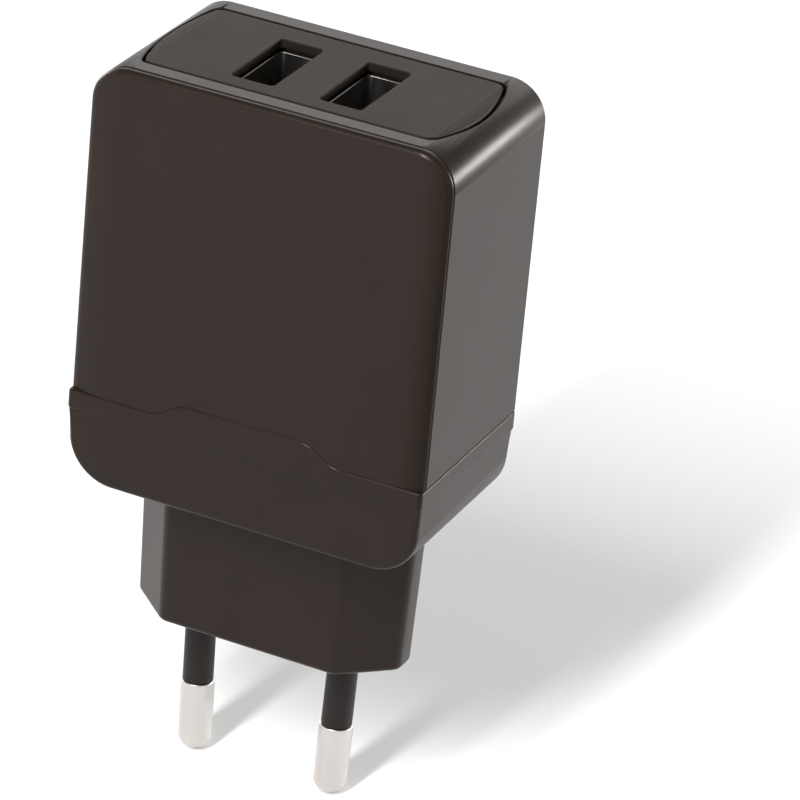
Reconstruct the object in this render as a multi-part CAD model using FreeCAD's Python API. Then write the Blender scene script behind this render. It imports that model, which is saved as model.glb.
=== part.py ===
"""Two-port USB wall charger with a fixed Europlug, built as separate pieces.

Frame: millimetres, origin at the centre of the plug's engagement face (the face that meets the socket),
+Z away from the socket, +X to the right, -Y towards the front cover.
"""
import FreeCAD, Part
import math
import os

VECTOR = FreeCAD.Vector
X_AXIS = VECTOR(1, 0, 0)
Y_AXIS = VECTOR(0, 1, 0)
Z_AXIS = VECTOR(0, 0, 1)
SIDES = {"left": -1, "right": 1}

# allowances for building: how far a cut runs past a face, and how closely an edge is matched
PAST = 1.0
NEAR = 1e-3

# ---- driving dimensions -------------------------------------------------------------------------------

# plug: standard Europlug pins, 19 mm long, leaning towards each other
PIN_LENGTH = 19.0
PIN_RADIUS = 2.0
PIN_CORE_RADIUS = 1.5
PIN_NOSE = 1.5
PIN_ROOT_SPACING = 18.6
PIN_TIP_SPACING = 17.8
PIN_INNER_END = 22.5
SLEEVE_LENGTH = 10.0
SLEEVE_RADIUS = 1.82
SLEEVE_INSERT = 1.5
PIN_DISH_RADIUS = 2.5
PIN_DISH_DEPTH = 0.4

# plug body: a long octagon that widens towards the casing
NECK_HEIGHT = 18.0
NECK_HALF_WIDTH = 16.9
NECK_HALF_DEPTH = 6.85
NECK_CHAMFER_X = 5.7
NECK_CHAMFER_Y = 5.3
NECK_EDGE_RADIUS = 1.5
NECK_DRAFT_X = 0.5
NECK_DRAFT_Y = 0.15
NECK_FOOT_RADIUS = 0.7
FLANGE_HALF_WIDTH = 15.4
FLANGE_HALF_DEPTH = 8.4
FLANGE_THICKNESS = 1.7

# casing outside
CAP_HALF_WIDTH = 22.0
CAP_HALF_DEPTH = 12.3
CAP_DRAFT = 0.25
CAP_CORNER_RADIUS = 5.5
CAP_EDGE_RADIUS = 0.6
COLLAR_BOTTOM = 27.0
COLLAR_TOP = 29.3
COLLAR_HALF_WIDTH = 22.15
COLLAR_HALF_DEPTH = 12.55
COLLAR_CORNER_RADIUS = 0.5
TAB_HEIGHT = 2.0
TAB_TOP_HALF = 8.0
TAB_FOOT_HALF = 11.2
TAB_THICKNESS = 1.25
TAB_CORNER_RADIUS = 0.8
TAB_ROOT = 0.5
BODY_HALF_WIDTH = 22.0
BODY_TOP_HALF_WIDTH = 21.9
BODY_TOP = 69.3
BODY_CORNER_RADIUS = 4.5
FRONT_Y = -12.4
BACK_Y = 12.4
BACK_EDGE_RADIUS = 0.6
COVER_BACK_Y = -11.5
SEAM_GAP = 0.3
SEAM_EDGE_RADIUS = 0.2
PILLOW_RUN = 4.2
PILLOW_DROP = 0.55
COVER_EDGE_RADIUS = 0.25

# casing inside
WALL = 1.8
INNER_CORNER_RADIUS = 2.6
TOP_WALL = 2.0
LIP_HEIGHT = 3.3
LIP_WALL = 1.2
LIP_CORNER_RADIUS = 0.6
BORE_CORNER_RADIUS = 0.4
COVER_LIP_RISE = 0.8
FIT_GAP = 0.1
COVER_PAD = 0.6
COVER_LIP = 1.1
RAIL_BITE = 1.2
RAIL_WIDTH = 1.2
RAIL_START = 6.0

# port plate
PLATE_THICKNESS = 1.0
PLATE_GAP = 0.25
PLATE_FRONT_Y = -8.75
PLATE_BACK_Y = 9.85
PLATE_FRONT_HALF = 17.4
PLATE_BACK_HALF = 17.7
PLATE_BOW_HALF = 19.2
PLATE_CORNER_RADIUS = 1.0

# ports
PORT_X = 5.4
PORT_INNER_X = 5.12
PORT_INNER_Y = 12.5
PORT_SHEET = 0.3
PORT_CORNER = 0.5
PORT_RIM_Z = 67.8
PORT_MOUTH_X = 5.3
PORT_MOUTH_Y = 12.6
PORT_WINDOW_PLAY = 0.25
PORT_WINDOW_DEPTH = 4.0
TONGUE_THICKNESS = 1.84
TONGUE_HALF_WIDTH = 5.55
TONGUE_TIP_DROP = 1.0
TONGUE_BASE_HEIGHT = 2.2
CONTACT_PLACES = (-3.5, -1.0, 1.0, 3.5)
CONTACT_WIDTH = 1.0
CONTACT_SHEET = 0.25
GROOVE_WIDTH = 1.3
GROOVE_DEPTH = 0.85
CONTACT_ROOT_GAP = 0.3
CONTACT_SHAPE = ((0.15, CONTACT_SHEET / 2), (0.02, 5.0), (-0.42, 7.3), (0.10, 9.0))
TAIL_HALF_WIDTH = 0.3
TONGUE_TIP_RADIUS = 0.3
TONGUE_BASE_PLAY = 0.05
TONGUE_BASE_END = 0.5
GROOVE_END = 0.7
GROOVE_RELIEF = 0.1
LEAF_WIDTH = 2.0
LEAF_LENGTH = 5.5
LEAF_PLACES = (-3.0, 3.0)
LEAF_ROOT_DROP = 2.5
LEAF_BEND_SHARE = 0.75
LEAF_DIP = 0.35
LEAF_TIP_DIP = 0.14
LEAF_OVERLAP = 0.2
LEAF_SLIT = 0.35
LEAF_WINDOW_FOOT = 0.4
LEG_WIDTH = 1.4
LEG_REACH = 1.2

# boards
BOARD_THICKNESS = 1.2
BOARD_CORNERS = (2, 0.3, 1)
MAIN_BOARD_Y = 7.4
MAIN_BOARD_HALF = 19.6
MAIN_BOARD_BOTTOM = 23.5
MAIN_BOARD_FOOT_HALF = 18.6
MAIN_BOARD_STEP = 33.4
MAIN_BOARD_TOP = 64.0
PORT_BOARD_Z = 53.0
PORT_BOARD_HALF = 18.4
PORT_BOARD_FRONT = -9.2
PORT_BOARD_BACK = 7.2
LEAD_RADIUS = 0.3
HOLE_RADIUS = 0.45
SLOT_GAP = 0.15
LEAD_END_Y = 9.5
STANDOFF = 0.4
HEADER_PITCH = 2.54
HEADER_COUNT = 6
HEADER_SIZE = 2.5
HEADER_Y = 5.8
HEADER_PIN = 0.64

# places on the main board: (x, z) of each through-hole part
INPUT_CAPACITORS = {"lower": (-14.8, 33.6), "upper": (-14.8, 43.4)}
FUSE_PLACE = (-14.6, 26.2)
BRIDGE_PLACE = (-5.4, 31.2)
CHOKE_PLACE = (-5.4, 39.4)
SAFETY_PLACE = (-5.4, 45.8)
TRANSFORMER_PLACE = (8.5, 37.5)
DIODE_PLACE = (2.6, 26.4)
AUX_PLACE = (16.0, 26.9)
OPTO_PLACE = (14.6, 48.6)

# levels that follow from the boards
PORT_BASE_Z = PORT_BOARD_Z + BOARD_THICKNESS
CONTACT_ROOT_Z = PORT_BASE_Z + TONGUE_BASE_HEIGHT + CONTACT_ROOT_GAP
MAIN_BOARD_BACK = MAIN_BOARD_Y + BOARD_THICKNESS

# through-hole parts: lead spacing, and (radius, length) or (half width, half height) of each body
CAPACITOR_PITCH = 3.5
CAPACITOR_SIZE = (4.0, 12.0)
AUX_PITCH = 2.0
AUX_SIZE = (2.5, 10.0)
CAN_GROOVE_DEPTH = 0.25
CAN_EDGE = 0.4
BUNG_EDGE = 0.5
GROOVE_PLACES = (1.3, 1.7, 2.1)
FUSE_PITCH = 6.8
FUSE_SIZE = (1.4, 4.8)
DIODE_PITCH = 8.8
DIODE_SIZE = (1.3, 5.2)
AXIAL_WAIST = 0.82
AXIAL_BULGE = 0.22
AXIAL_STEP = 0.3
AXIAL_BEND = 0.8
BRIDGE_LEAD_HALF = (2.54, 2.2)
BRIDGE_SIZE = (8.0, 6.4, 2.6)
OPTO_LEAD_HALF = (2.6, 1.27)
OPTO_SIZE = (6.5, 4.4, 3.4)
CHIP_CHAMFER = 0.25
CHOKE_PITCH = 3.0
CHOKE_FLANGE_RADIUS = 3.0
CHOKE_CORE_RADIUS = 1.5
CHOKE_WIRE_RADIUS = 2.7
CHOKE_FLANGE = 1.0
CHOKE_LENGTH = 7.5
CHOKE_WIRE_GAP = 0.1
SAFETY_PITCH = 6.0
SAFETY_RADIUS = 4.0
SAFETY_HALF_THICKNESS = 1.7
SAFETY_EDGE = 1.2
SAFETY_STANDOFF = 1.2
SOLDER_FOOT = 0.95
SOLDER_TIP = 0.4
SOLDER_HEIGHT = 0.7

# surface-mounted parts
CHIP_ROWS_Z = (55.5, 59.5)
RESISTORS_X = (-13, -9, -5, -1)
CAPACITORS_X = (5, 9, 13)
CHIP_SIZE = (2.0, 1.25)
RESISTOR_HEIGHT = 0.55
CAPACITOR_HEIGHT = 0.9
CONTROLLER_PLACE = (0.0, 41.5)
CONTROLLER_HALF = (2.45, 1.95)
CONTROLLER_HEIGHT = (0.1, 1.45)
CONTROLLER_CHAMFER = 0.2
CONTROLLER_LEADS_X = (-1.9, -0.65, 0.65, 1.9)
CONTROLLER_LEAD_REACH = 3.0
CONTROLLER_LEAD_HALF = 0.2
CONTROLLER_LEAD_SHEET = 0.25
RECTIFIER_PLACE = (3.4, 48.3)
RECTIFIER_HALF = (3.2, 1.4)
RECTIFIER_HEIGHT = 2.1
RECTIFIER_CHAMFER = 0.3
CHARGE_CHIP_PLACES = (-4.5, 1.5)
CHARGE_CHIP_HALF = (0.8, 1.45)
CHARGE_CHIP_HEIGHT = 1.1

# insulation sheet behind the main board
SHEET_HALF = 18.6
SHEET_Z = (34.5, 63.5)
SHEET_Y = (10.25, 10.45)

# transformer, about its own centre with the winding axis along Z
TRANSFORMER_Y = -0.5
TRANSFORMER_PIN_X = (-4.5, -1.5, 1.5, 4.5)
TRANSFORMER_PIN_Z = 7.0
CORE_HALF_X = 8.4
CORE_LEG_X = 6.1
CORE_HALF_Y = 2.75
CORE_HALF_Z = 7.4
CORE_WINDOW_Z = 4.8
CORE_MIDDLE_X = 2.2
COIL_HALF_X = 5.6
COIL_HALF_Y = 5.3
COIL_HALF_Z = 3.7
COIL_CORNER = 1.0
INNER_RADIUS_SHARE = 0.6
TAPE_THICKNESS = 0.2
BOBBIN_WALL = 0.7
BOBBIN_TUBE_X = 0.65
BOBBIN_CORNER = 0.6
WINDING_PLAY = 0.02
BOBBIN_HALF_X = 5.9
BOBBIN_FRONT_Y = -5.7
BOBBIN_HALF_Z = 4.6
RAIL_HALF_X = 6.6
RAIL_FRONT_GAP = 1.6
RAIL_HALF_Z = 8.2
RAIL_STANDOFF = 0.6

# output capacitors on the port board
OUTPUT_X = 14.0
OUTPUT_Y = -1.5
OUTPUT_PITCH = 3.5
OUTPUT_SIZE = (4.0, 11.0)

# mains contacts
MAINS_SHEET = 0.4
MAINS_HALF_WIDTH = 1.6
MAINS_EYE_MARGIN = 0.9
MAINS_TAB_RISE = 3.5
MAINS_FOLD_RADIUS = 0.35


# ---- small helpers ------------------------------------------------------------------------------------

def block(x_low, x_high, y_low, y_high, z_low, z_high):
    """Box between two corners."""
    return Part.makeBox(x_high - x_low, y_high - y_low, z_high - z_low, VECTOR(x_low, y_low, z_low))


def rod(radius, start, end):
    """Cylinder from one point to another."""
    run = end - start
    return Part.makeCylinder(radius, run.Length, start, run)


def rounded_wire(corners, place):
    """Closed wire through (a, b, radius) corners, rounded with arcs; place maps (a, b) to a point."""
    flat = [VECTOR(a, b, 0) for a, b, _ in corners]
    stretches = []
    for index, (_, _, radius) in enumerate(corners):
        back = (flat[index - 1] - flat[index]).normalize()
        ahead = (flat[(index + 1) % len(flat)] - flat[index]).normalize()
        half_angle = back.getAngle(ahead) / 2
        reach = radius / math.tan(half_angle)
        inward = (back + ahead).normalize()
        middle = flat[index] + inward * (radius / math.sin(half_angle) - radius)
        stretches.append((flat[index] + back * reach, middle, flat[index] + ahead * reach, radius))
    edges = []
    for index, (start, middle, end, radius) in enumerate(stretches):
        if radius > 0:
            points = [place(point.x, point.y) for point in (start, middle, end)]
            edges.append(Part.Arc(*points).toShape())
        following = stretches[(index + 1) % len(stretches)][0]
        if (following - end).Length > 1e-6:
            edges.append(Part.makeLine(place(end.x, end.y), place(following.x, following.y)))
    return Part.Wire(edges)


def prism(wire, direction):
    """Solid swept straight from a flat closed wire."""
    return Part.Face(wire).extrude(direction)


def plan_prism(corners, z_low, z_high):
    """Solid from a plan outline between two heights."""
    wire = rounded_wire(corners, lambda x, y: VECTOR(x, y, z_low))
    return prism(wire, VECTOR(0, 0, z_high - z_low))


def front_prism(corners, y_low, y_high):
    """Solid from a front-view outline between two depths."""
    wire = rounded_wire(corners, lambda x, z: VECTOR(x, y_low, z))
    return prism(wire, VECTOR(0, y_high - y_low, 0))


def rectangle(half_x, y_low, y_high, radius):
    """Plan corners of a rectangle that is centred in X."""
    front = [(-half_x, y_low, radius), (half_x, y_low, radius)]
    return front + [(half_x, y_high, radius), (-half_x, y_high, radius)]


def edges_where(shape, test):
    """Edges of a shape whose bounding box passes a test."""
    return [edge for edge in shape.Edges if test(edge.BoundBox)]


def group(solids):
    """Several separate solids kept in one node."""
    return Part.makeCompound(solids)


# ---- plug ---------------------------------------------------------------------------------------------

def tilted(shape, side):
    """Turns a pin-axis shape to its place: rooted at the engagement face, its tip nearer the middle."""
    lean = math.degrees(math.asin((PIN_ROOT_SPACING - PIN_TIP_SPACING) / 2 / PIN_LENGTH))
    turned = shape.copy()
    turned.rotate(VECTOR(0, 0, 0), Y_AXIS, side * lean)
    turned.translate(VECTOR(side * PIN_ROOT_SPACING / 2, 0, 0))
    return turned


def pin(side):
    """Nickel-plated pin: blunt round nose, full-size tip and a thinner core up into the plug body."""
    nose_centre = VECTOR(PIN_RADIUS - PIN_NOSE, 0, PIN_NOSE - PIN_LENGTH)
    diagonal = PIN_NOSE * math.sqrt(0.5)
    shoulder_z = -SLEEVE_LENGTH
    nose_start = VECTOR(nose_centre.x, 0, -PIN_LENGTH)
    nose_middle = nose_centre + VECTOR(diagonal, 0, -diagonal)
    nose_end = VECTOR(PIN_RADIUS, 0, nose_centre.z)
    corners = [VECTOR(PIN_RADIUS, 0, shoulder_z), VECTOR(PIN_CORE_RADIUS, 0, shoulder_z),
               VECTOR(PIN_CORE_RADIUS, 0, PIN_INNER_END), VECTOR(0, 0, PIN_INNER_END),
               VECTOR(0, 0, -PIN_LENGTH), nose_start]
    edges = [Part.Arc(nose_start, nose_middle, nose_end).toShape()]
    path = [nose_end] + corners
    edges += [Part.makeLine(path[index], path[index + 1]) for index in range(len(path) - 1)]
    return tilted(Part.Face(Part.Wire(edges)).revolve(VECTOR(0, 0, 0), Z_AXIS, 360), side)


def pin_sleeve(side):
    """Insulating sleeve on the root half of a pin, set a little into the plug body."""
    outer = rod(SLEEVE_RADIUS, VECTOR(0, 0, -SLEEVE_LENGTH), VECTOR(0, 0, SLEEVE_INSERT))
    inner = rod(PIN_CORE_RADIUS, VECTOR(0, 0, -SLEEVE_LENGTH - 1), VECTOR(0, 0, SLEEVE_INSERT + 1))
    return tilted(outer.cut(inner), side)


def octagon(z, growth_x, growth_y):
    """Plan outline of the plug body at one height, grown by the given amounts."""
    half_x = NECK_HALF_WIDTH + growth_x
    half_y = NECK_HALF_DEPTH + growth_y
    flat_x = half_x - NECK_CHAMFER_X
    flat_y = half_y - NECK_CHAMFER_Y
    quarter = [(flat_x, -half_y), (half_x, -flat_y), (half_x, flat_y), (flat_x, half_y)]
    points = quarter + [(-x, -y) for x, y in quarter]
    corners = [(x, y, NECK_EDGE_RADIUS) for x, y in points]
    return rounded_wire(corners, lambda x, y: VECTOR(x, y, z))


def neck_solid(z_high, gap):
    """The plug body's tapered octagon, from the engagement face up, grown by a gap."""
    foot = octagon(0, gap, gap)
    share = z_high / NECK_HEIGHT
    head = octagon(z_high, NECK_DRAFT_X * share + gap, NECK_DRAFT_Y * share + gap)
    return Part.makeLoft([foot, head], True, True)


def plug_body():
    """Solid moulded plug: octagonal neck, and an inner flange that the lower cap holds down."""
    floor_top = NECK_HEIGHT + WALL
    neck = neck_solid(floor_top + FIT_GAP, 0)
    foot_edges = edges_where(neck, lambda box: box.ZMax < 1e-3)
    neck = neck.makeFillet(NECK_FOOT_RADIUS, foot_edges)
    flange_low = floor_top + FIT_GAP
    flange_corners = rectangle(FLANGE_HALF_WIDTH, -FLANGE_HALF_DEPTH, FLANGE_HALF_DEPTH, NECK_EDGE_RADIUS)
    flange = plan_prism(flange_corners, flange_low, flange_low + FLANGE_THICKNESS)
    body = neck.fuse(flange).removeSplitter()
    for side in SIDES.values():
        bore = rod(PIN_CORE_RADIUS, VECTOR(0, 0, -1), VECTOR(0, 0, PIN_INNER_END + 1))
        socket = rod(SLEEVE_RADIUS, VECTOR(0, 0, -1), VECTOR(0, 0, SLEEVE_INSERT))
        body = body.cut(tilted(bore, side)).cut(tilted(socket, side))
        dish_x = side * PIN_ROOT_SPACING / 2
        body = body.cut(rod(PIN_DISH_RADIUS, VECTOR(dish_x, 0, -1), VECTOR(dish_x, 0, PIN_DISH_DEPTH)))
    return body


def mains_contact(side):
    """Brass strip: an eye round the pin's inner end, run back and bent up against the main board."""
    eye_z = NECK_HEIGHT + WALL + FIT_GAP + FLANGE_THICKNESS
    eye_x = side * PIN_ROOT_SPACING / 2
    x_low = eye_x - MAINS_HALF_WIDTH
    x_high = eye_x + MAINS_HALF_WIDTH
    sheet_top = eye_z + MAINS_SHEET
    eye = rod(MAINS_HALF_WIDTH + MAINS_EYE_MARGIN, VECTOR(eye_x, 0, eye_z), VECTOR(eye_x, 0, sheet_top))
    run = block(x_low, x_high, 0, MAIN_BOARD_Y, eye_z, sheet_top)
    tab_top = MAIN_BOARD_BOTTOM + MAINS_TAB_RISE
    tab = block(x_low, x_high, MAIN_BOARD_Y - MAINS_SHEET, MAIN_BOARD_Y, eye_z, tab_top)
    strip = eye.fuse([run, tab]).removeSplitter()
    fold = edges_where(strip, lambda box: box.XLength > MAINS_HALF_WIDTH and abs(box.ZMax - eye_z) < NEAR
                       and abs(box.YMax - MAIN_BOARD_Y) < NEAR and box.YLength < NEAR)
    strip = strip.makeFillet(MAINS_FOLD_RADIUS, fold)
    return strip.cut(tilted(rod(PIN_CORE_RADIUS, VECTOR(0, 0, 0), VECTOR(0, 0, PIN_INNER_END + PAST)), side))


# ---- casing -------------------------------------------------------------------------------------------

def body_corners(inset, z_low, top_inset):
    """Front-view outline of the upper casing, set in by a wall."""
    top_z = BODY_TOP - top_inset
    radius = BODY_CORNER_RADIUS if inset == 0 else INNER_CORNER_RADIUS
    foot_half = BODY_HALF_WIDTH - inset
    top_half = BODY_TOP_HALF_WIDTH - inset
    foot = [(-foot_half, z_low, 0), (foot_half, z_low, 0)]
    return foot + [(top_half, top_z, radius), (-top_half, top_z, radius)]


def plate_wire(growth, z):
    """Plan outline of the port plate: straight front and back, ends bowed outwards."""
    front = PLATE_FRONT_Y - growth
    back = PLATE_BACK_Y + growth
    middle = (front + back) / 2
    front_half = PLATE_FRONT_HALF + growth
    back_half = PLATE_BACK_HALF + growth
    edges = [Part.makeLine(VECTOR(-front_half, front, z), VECTOR(front_half, front, z)),
             Part.makeLine(VECTOR(back_half, back, z), VECTOR(-back_half, back, z))]
    for side in SIDES.values():
        bow = VECTOR(side * (PLATE_BOW_HALF + growth), middle, z)
        ends = VECTOR(side * front_half, front, z), VECTOR(side * back_half, back, z)
        edges.append(Part.Arc(ends[0], bow, ends[1]).toShape())
    return Part.Wire(Part.__sortEdges__(edges))


def plate_solid(growth, z_low, z_high):
    """Port plate shape with rounded plan corners."""
    slab = prism(plate_wire(growth, z_low), VECTOR(0, 0, z_high - z_low))
    uprights = edges_where(slab, lambda box: box.ZLength > (z_high - z_low) / 2 and box.XLength < NEAR)
    return slab.makeFillet(PLATE_CORNER_RADIUS, uprights)


def port_opening(size_x, size_y, radius, z_low, z_high, side):
    """Straight rectangular hole shape over one port."""
    corners = rectangle(size_x / 2, -size_y / 2, size_y / 2, radius)
    hole = plan_prism(corners, z_low, z_high)
    hole.translate(VECTOR(side * PORT_X, 0, 0))
    return hole


def rear_housing():
    """Upper shell: back, sides and top in one moulding, open to the front and the bottom."""
    seam_y = COVER_BACK_Y + SEAM_GAP
    shell = front_prism(body_corners(0, COLLAR_TOP, 0), seam_y, BACK_Y)
    back_edges = edges_where(shell, lambda box: box.YMin > BACK_Y - NEAR and box.ZMax > COLLAR_TOP + PAST)
    shell = shell.makeFillet(BACK_EDGE_RADIUS, back_edges)
    seam_edges = edges_where(shell, lambda box: box.YMax < seam_y + NEAR and box.ZMax > COLLAR_TOP + PAST)
    shell = shell.makeFillet(SEAM_EDGE_RADIUS, seam_edges)
    inside = body_corners(WALL, COLLAR_TOP - PAST, TOP_WALL)
    shell = shell.cut(front_prism(inside, seam_y - PAST, BACK_Y - WALL))
    pocket_z = BODY_TOP - PLATE_THICKNESS
    shell = shell.cut(plate_solid(PLATE_GAP, pocket_z, BODY_TOP + PAST))
    outer_x = PORT_INNER_X + 2 * (PORT_SHEET + PORT_WINDOW_PLAY)
    outer_y = PORT_INNER_Y + 2 * (PORT_SHEET + PORT_WINDOW_PLAY)
    for side in SIDES.values():
        window_foot = BODY_TOP - PORT_WINDOW_DEPTH
        shell = shell.cut(port_opening(outer_x, outer_y, PORT_CORNER, window_foot, BODY_TOP, side))
    inner_half = BODY_TOP_HALF_WIDTH - WALL
    rails = []
    for side in SIDES.values():
        x_low, x_high = sorted((side * (inner_half - RAIL_BITE), side * (inner_half + WALL / 2)))
        for y_low in (MAIN_BOARD_Y - FIT_GAP - RAIL_WIDTH, MAIN_BOARD_BACK + FIT_GAP):
            y_high = y_low + RAIL_WIDTH
            rails.append(block(x_low, x_high, y_low, y_high, COLLAR_TOP + RAIL_START, MAIN_BOARD_TOP))
    return shell.fuse(rails).removeSplitter()


def tab_corners(gap):
    """Front-view outline of the trapezoid tab on the collar, grown by a gap."""
    foot_z = COLLAR_BOTTOM + TAB_ROOT
    slope = (TAB_FOOT_HALF - TAB_TOP_HALF) / TAB_HEIGHT
    foot_half = TAB_FOOT_HALF + gap + slope * (COLLAR_TOP - foot_z)
    top_half = TAB_TOP_HALF + gap
    top_z = COLLAR_TOP + TAB_HEIGHT + gap
    top = [(top_half, top_z, TAB_CORNER_RADIUS), (-top_half, top_z, TAB_CORNER_RADIUS)]
    return [(-foot_half, foot_z, 0), (foot_half, foot_z, 0)] + top


def pillow_solid():
    """Plan limit of the front cover: flat in the middle, with long soft arcs towards both sides."""
    radius = (PILLOW_RUN ** 2 + PILLOW_DROP ** 2) / (2 * PILLOW_DROP)
    half = BODY_HALF_WIDTH + 0.5
    flat_half = BODY_HALF_WIDTH - PILLOW_RUN
    lean = math.asin((half - flat_half) / radius)
    edges = []

    def arc_point(side, angle):
        depth = FRONT_Y + radius * (1 - math.cos(angle))
        return VECTOR(side * (flat_half + radius * math.sin(angle)), depth, 0)

    for side in (-1, 1):
        points = [arc_point(side, angle) for angle in (0, lean / 2, lean)]
        edges.append(Part.Arc(*points).toShape())
        edges.append(Part.makeLine(points[2], VECTOR(points[2].x, 0, 0)))
    edges.append(Part.makeLine(VECTOR(-flat_half, FRONT_Y, 0), VECTOR(flat_half, FRONT_Y, 0)))
    edges.append(Part.makeLine(VECTOR(-half, 0, 0), VECTOR(half, 0, 0)))
    outline = Part.Wire(Part.__sortEdges__(edges))
    return prism(outline, VECTOR(0, 0, BODY_TOP + 1))


def front_cover():
    """Front panel: pillowed face, thin rim that shows as a line round the casing, and a lip inside."""
    panel = front_prism(body_corners(0, COLLAR_TOP, 0), FRONT_Y, COVER_BACK_Y).common(pillow_solid())
    side_x = BODY_TOP_HALF_WIDTH - WALL / 4
    corner_z = BODY_TOP - BODY_CORNER_RADIUS - WALL / 4
    rim = edges_where(panel, lambda box: box.YMax < COVER_BACK_Y - FIT_GAP
                      and (box.ZMin > corner_z or box.XMax < -side_x or box.XMin > side_x))
    panel = panel.makeFillet(COVER_EDGE_RADIUS, rim)
    pad_back = COVER_BACK_Y + COVER_PAD
    inset = WALL + FIT_GAP
    top_inset = TOP_WALL + FIT_GAP
    pad = front_prism(body_corners(inset, COLLAR_TOP, top_inset), COVER_BACK_Y, pad_back)
    lip_foot = COLLAR_TOP + LIP_HEIGHT + COVER_LIP_RISE
    lip = front_prism(body_corners(inset, lip_foot, top_inset), pad_back, pad_back + COVER_LIP)
    inner = body_corners(inset + LIP_WALL, lip_foot - PAST, top_inset + LIP_WALL)
    lip = lip.cut(front_prism(inner, pad_back - PAST, pad_back + COVER_LIP + PAST))
    cover = panel.fuse([pad, lip]).removeSplitter()
    return cover.cut(front_prism(tab_corners(FIT_GAP), FRONT_Y - PAST, pad_back + PAST))


def port_plate():
    """Textured plate set flush in the top, its ends bent down with the casing, with the two port mouths."""
    casing = front_prism(body_corners(0, COLLAR_TOP, 0), FRONT_Y, BACK_Y)
    plate = plate_solid(0, BODY_TOP - PLATE_THICKNESS, BODY_TOP + PAST).common(casing)
    for side in SIDES.values():
        mouth = port_opening(PORT_MOUTH_X, PORT_MOUTH_Y, PORT_CORNER, BODY_TOP - PORT_WINDOW_DEPTH,
                             BODY_TOP + PAST, side)
        plate = plate.cut(mouth)
    return plate


def lower_cap():
    """Lower cap: tapered cup with round bottom corners, a proud collar with its tab, and an inner lip."""
    foot_half = CAP_HALF_WIDTH - CAP_DRAFT
    side_view = [(-foot_half, NECK_HEIGHT, CAP_CORNER_RADIUS), (foot_half, NECK_HEIGHT, CAP_CORNER_RADIUS),
                 (CAP_HALF_WIDTH, COLLAR_BOTTOM, 0), (-CAP_HALF_WIDTH, COLLAR_BOTTOM, 0)]
    cup = front_prism(side_view, -CAP_HALF_DEPTH, CAP_HALF_DEPTH)
    foot_depth = CAP_HALF_DEPTH - CAP_DRAFT
    depth_points = [(-foot_depth, NECK_HEIGHT, 0), (foot_depth, NECK_HEIGHT, 0),
                    (CAP_HALF_DEPTH, COLLAR_BOTTOM, 0), (-CAP_HALF_DEPTH, COLLAR_BOTTOM, 0)]
    wedge_wire = rounded_wire(depth_points, lambda y, z: VECTOR(-CAP_HALF_WIDTH - PAST, y, z))
    cup = cup.common(prism(wedge_wire, VECTOR(2 * (CAP_HALF_WIDTH + PAST), 0, 0)))
    rims = edges_where(cup, lambda box: box.ZMin < COLLAR_BOTTOM - PAST and box.YLength < WALL
                       and min(abs(box.YMin), abs(box.YMax)) > foot_depth - FIT_GAP)
    cup = cup.makeFillet(CAP_EDGE_RADIUS, rims)
    collar_plan = rectangle(COLLAR_HALF_WIDTH, -COLLAR_HALF_DEPTH, COLLAR_HALF_DEPTH, COLLAR_CORNER_RADIUS)
    collar = plan_prism(collar_plan, COLLAR_BOTTOM, COLLAR_TOP)
    tab = front_prism(tab_corners(0), -COLLAR_HALF_DEPTH, -COLLAR_HALF_DEPTH + TAB_THICKNESS)
    cap = cup.fuse([collar, tab]).removeSplitter()
    inner_half = CAP_HALF_WIDTH - CAP_DRAFT - WALL
    inner_depth = foot_depth - WALL
    hollow_view = [(-inner_half, NECK_HEIGHT + WALL, CAP_CORNER_RADIUS - WALL),
                   (inner_half, NECK_HEIGHT + WALL, CAP_CORNER_RADIUS - WALL),
                   (inner_half, COLLAR_TOP + PAST, 0), (-inner_half, COLLAR_TOP + PAST, 0)]
    hollow = front_prism(hollow_view, -inner_depth, inner_depth)
    lip_half = BODY_TOP_HALF_WIDTH - WALL - FIT_GAP
    lip_front = COVER_BACK_Y + COVER_PAD + FIT_GAP
    lip_back = BACK_Y - WALL - FIT_GAP
    lip_top = COLLAR_TOP + LIP_HEIGHT
    lip_plan = rectangle(lip_half, lip_front, lip_back, LIP_CORNER_RADIUS)
    lip = plan_prism(lip_plan, COLLAR_TOP - PAST, lip_top)
    bore_plan = rectangle(lip_half - LIP_WALL, -inner_depth, inner_depth, BORE_CORNER_RADIUS)
    bore = plan_prism(bore_plan, COLLAR_TOP - LIP_HEIGHT, lip_top + PAST)
    opening = neck_solid(NECK_HEIGHT + WALL + PAST, FIT_GAP / 2)
    return cap.fuse(lip).removeSplitter().cut(hollow).cut(bore).cut(opening)


# ---- ports --------------------------------------------------------------------------------------------

def at_port(shape, side):
    """Moves a shape drawn about a port's own axis to its port."""
    moved = shape.copy()
    moved.translate(VECTOR(side * PORT_X, 0, 0))
    return moved


def port_leg_solids(growth, z_low, z_high):
    """The four flat legs of a port shell, grown by a gap."""
    inner = PORT_INNER_X / 2
    legs = []
    for wall in (-1, 1):
        x_low, x_high = sorted((wall * inner, wall * (inner + PORT_SHEET)))
        for place in LEAF_PLACES:
            legs.append(block(x_low - growth, x_high + growth, place - LEG_WIDTH / 2 - growth,
                              place + LEG_WIDTH / 2 + growth, z_low, z_high))
    return legs


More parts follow.
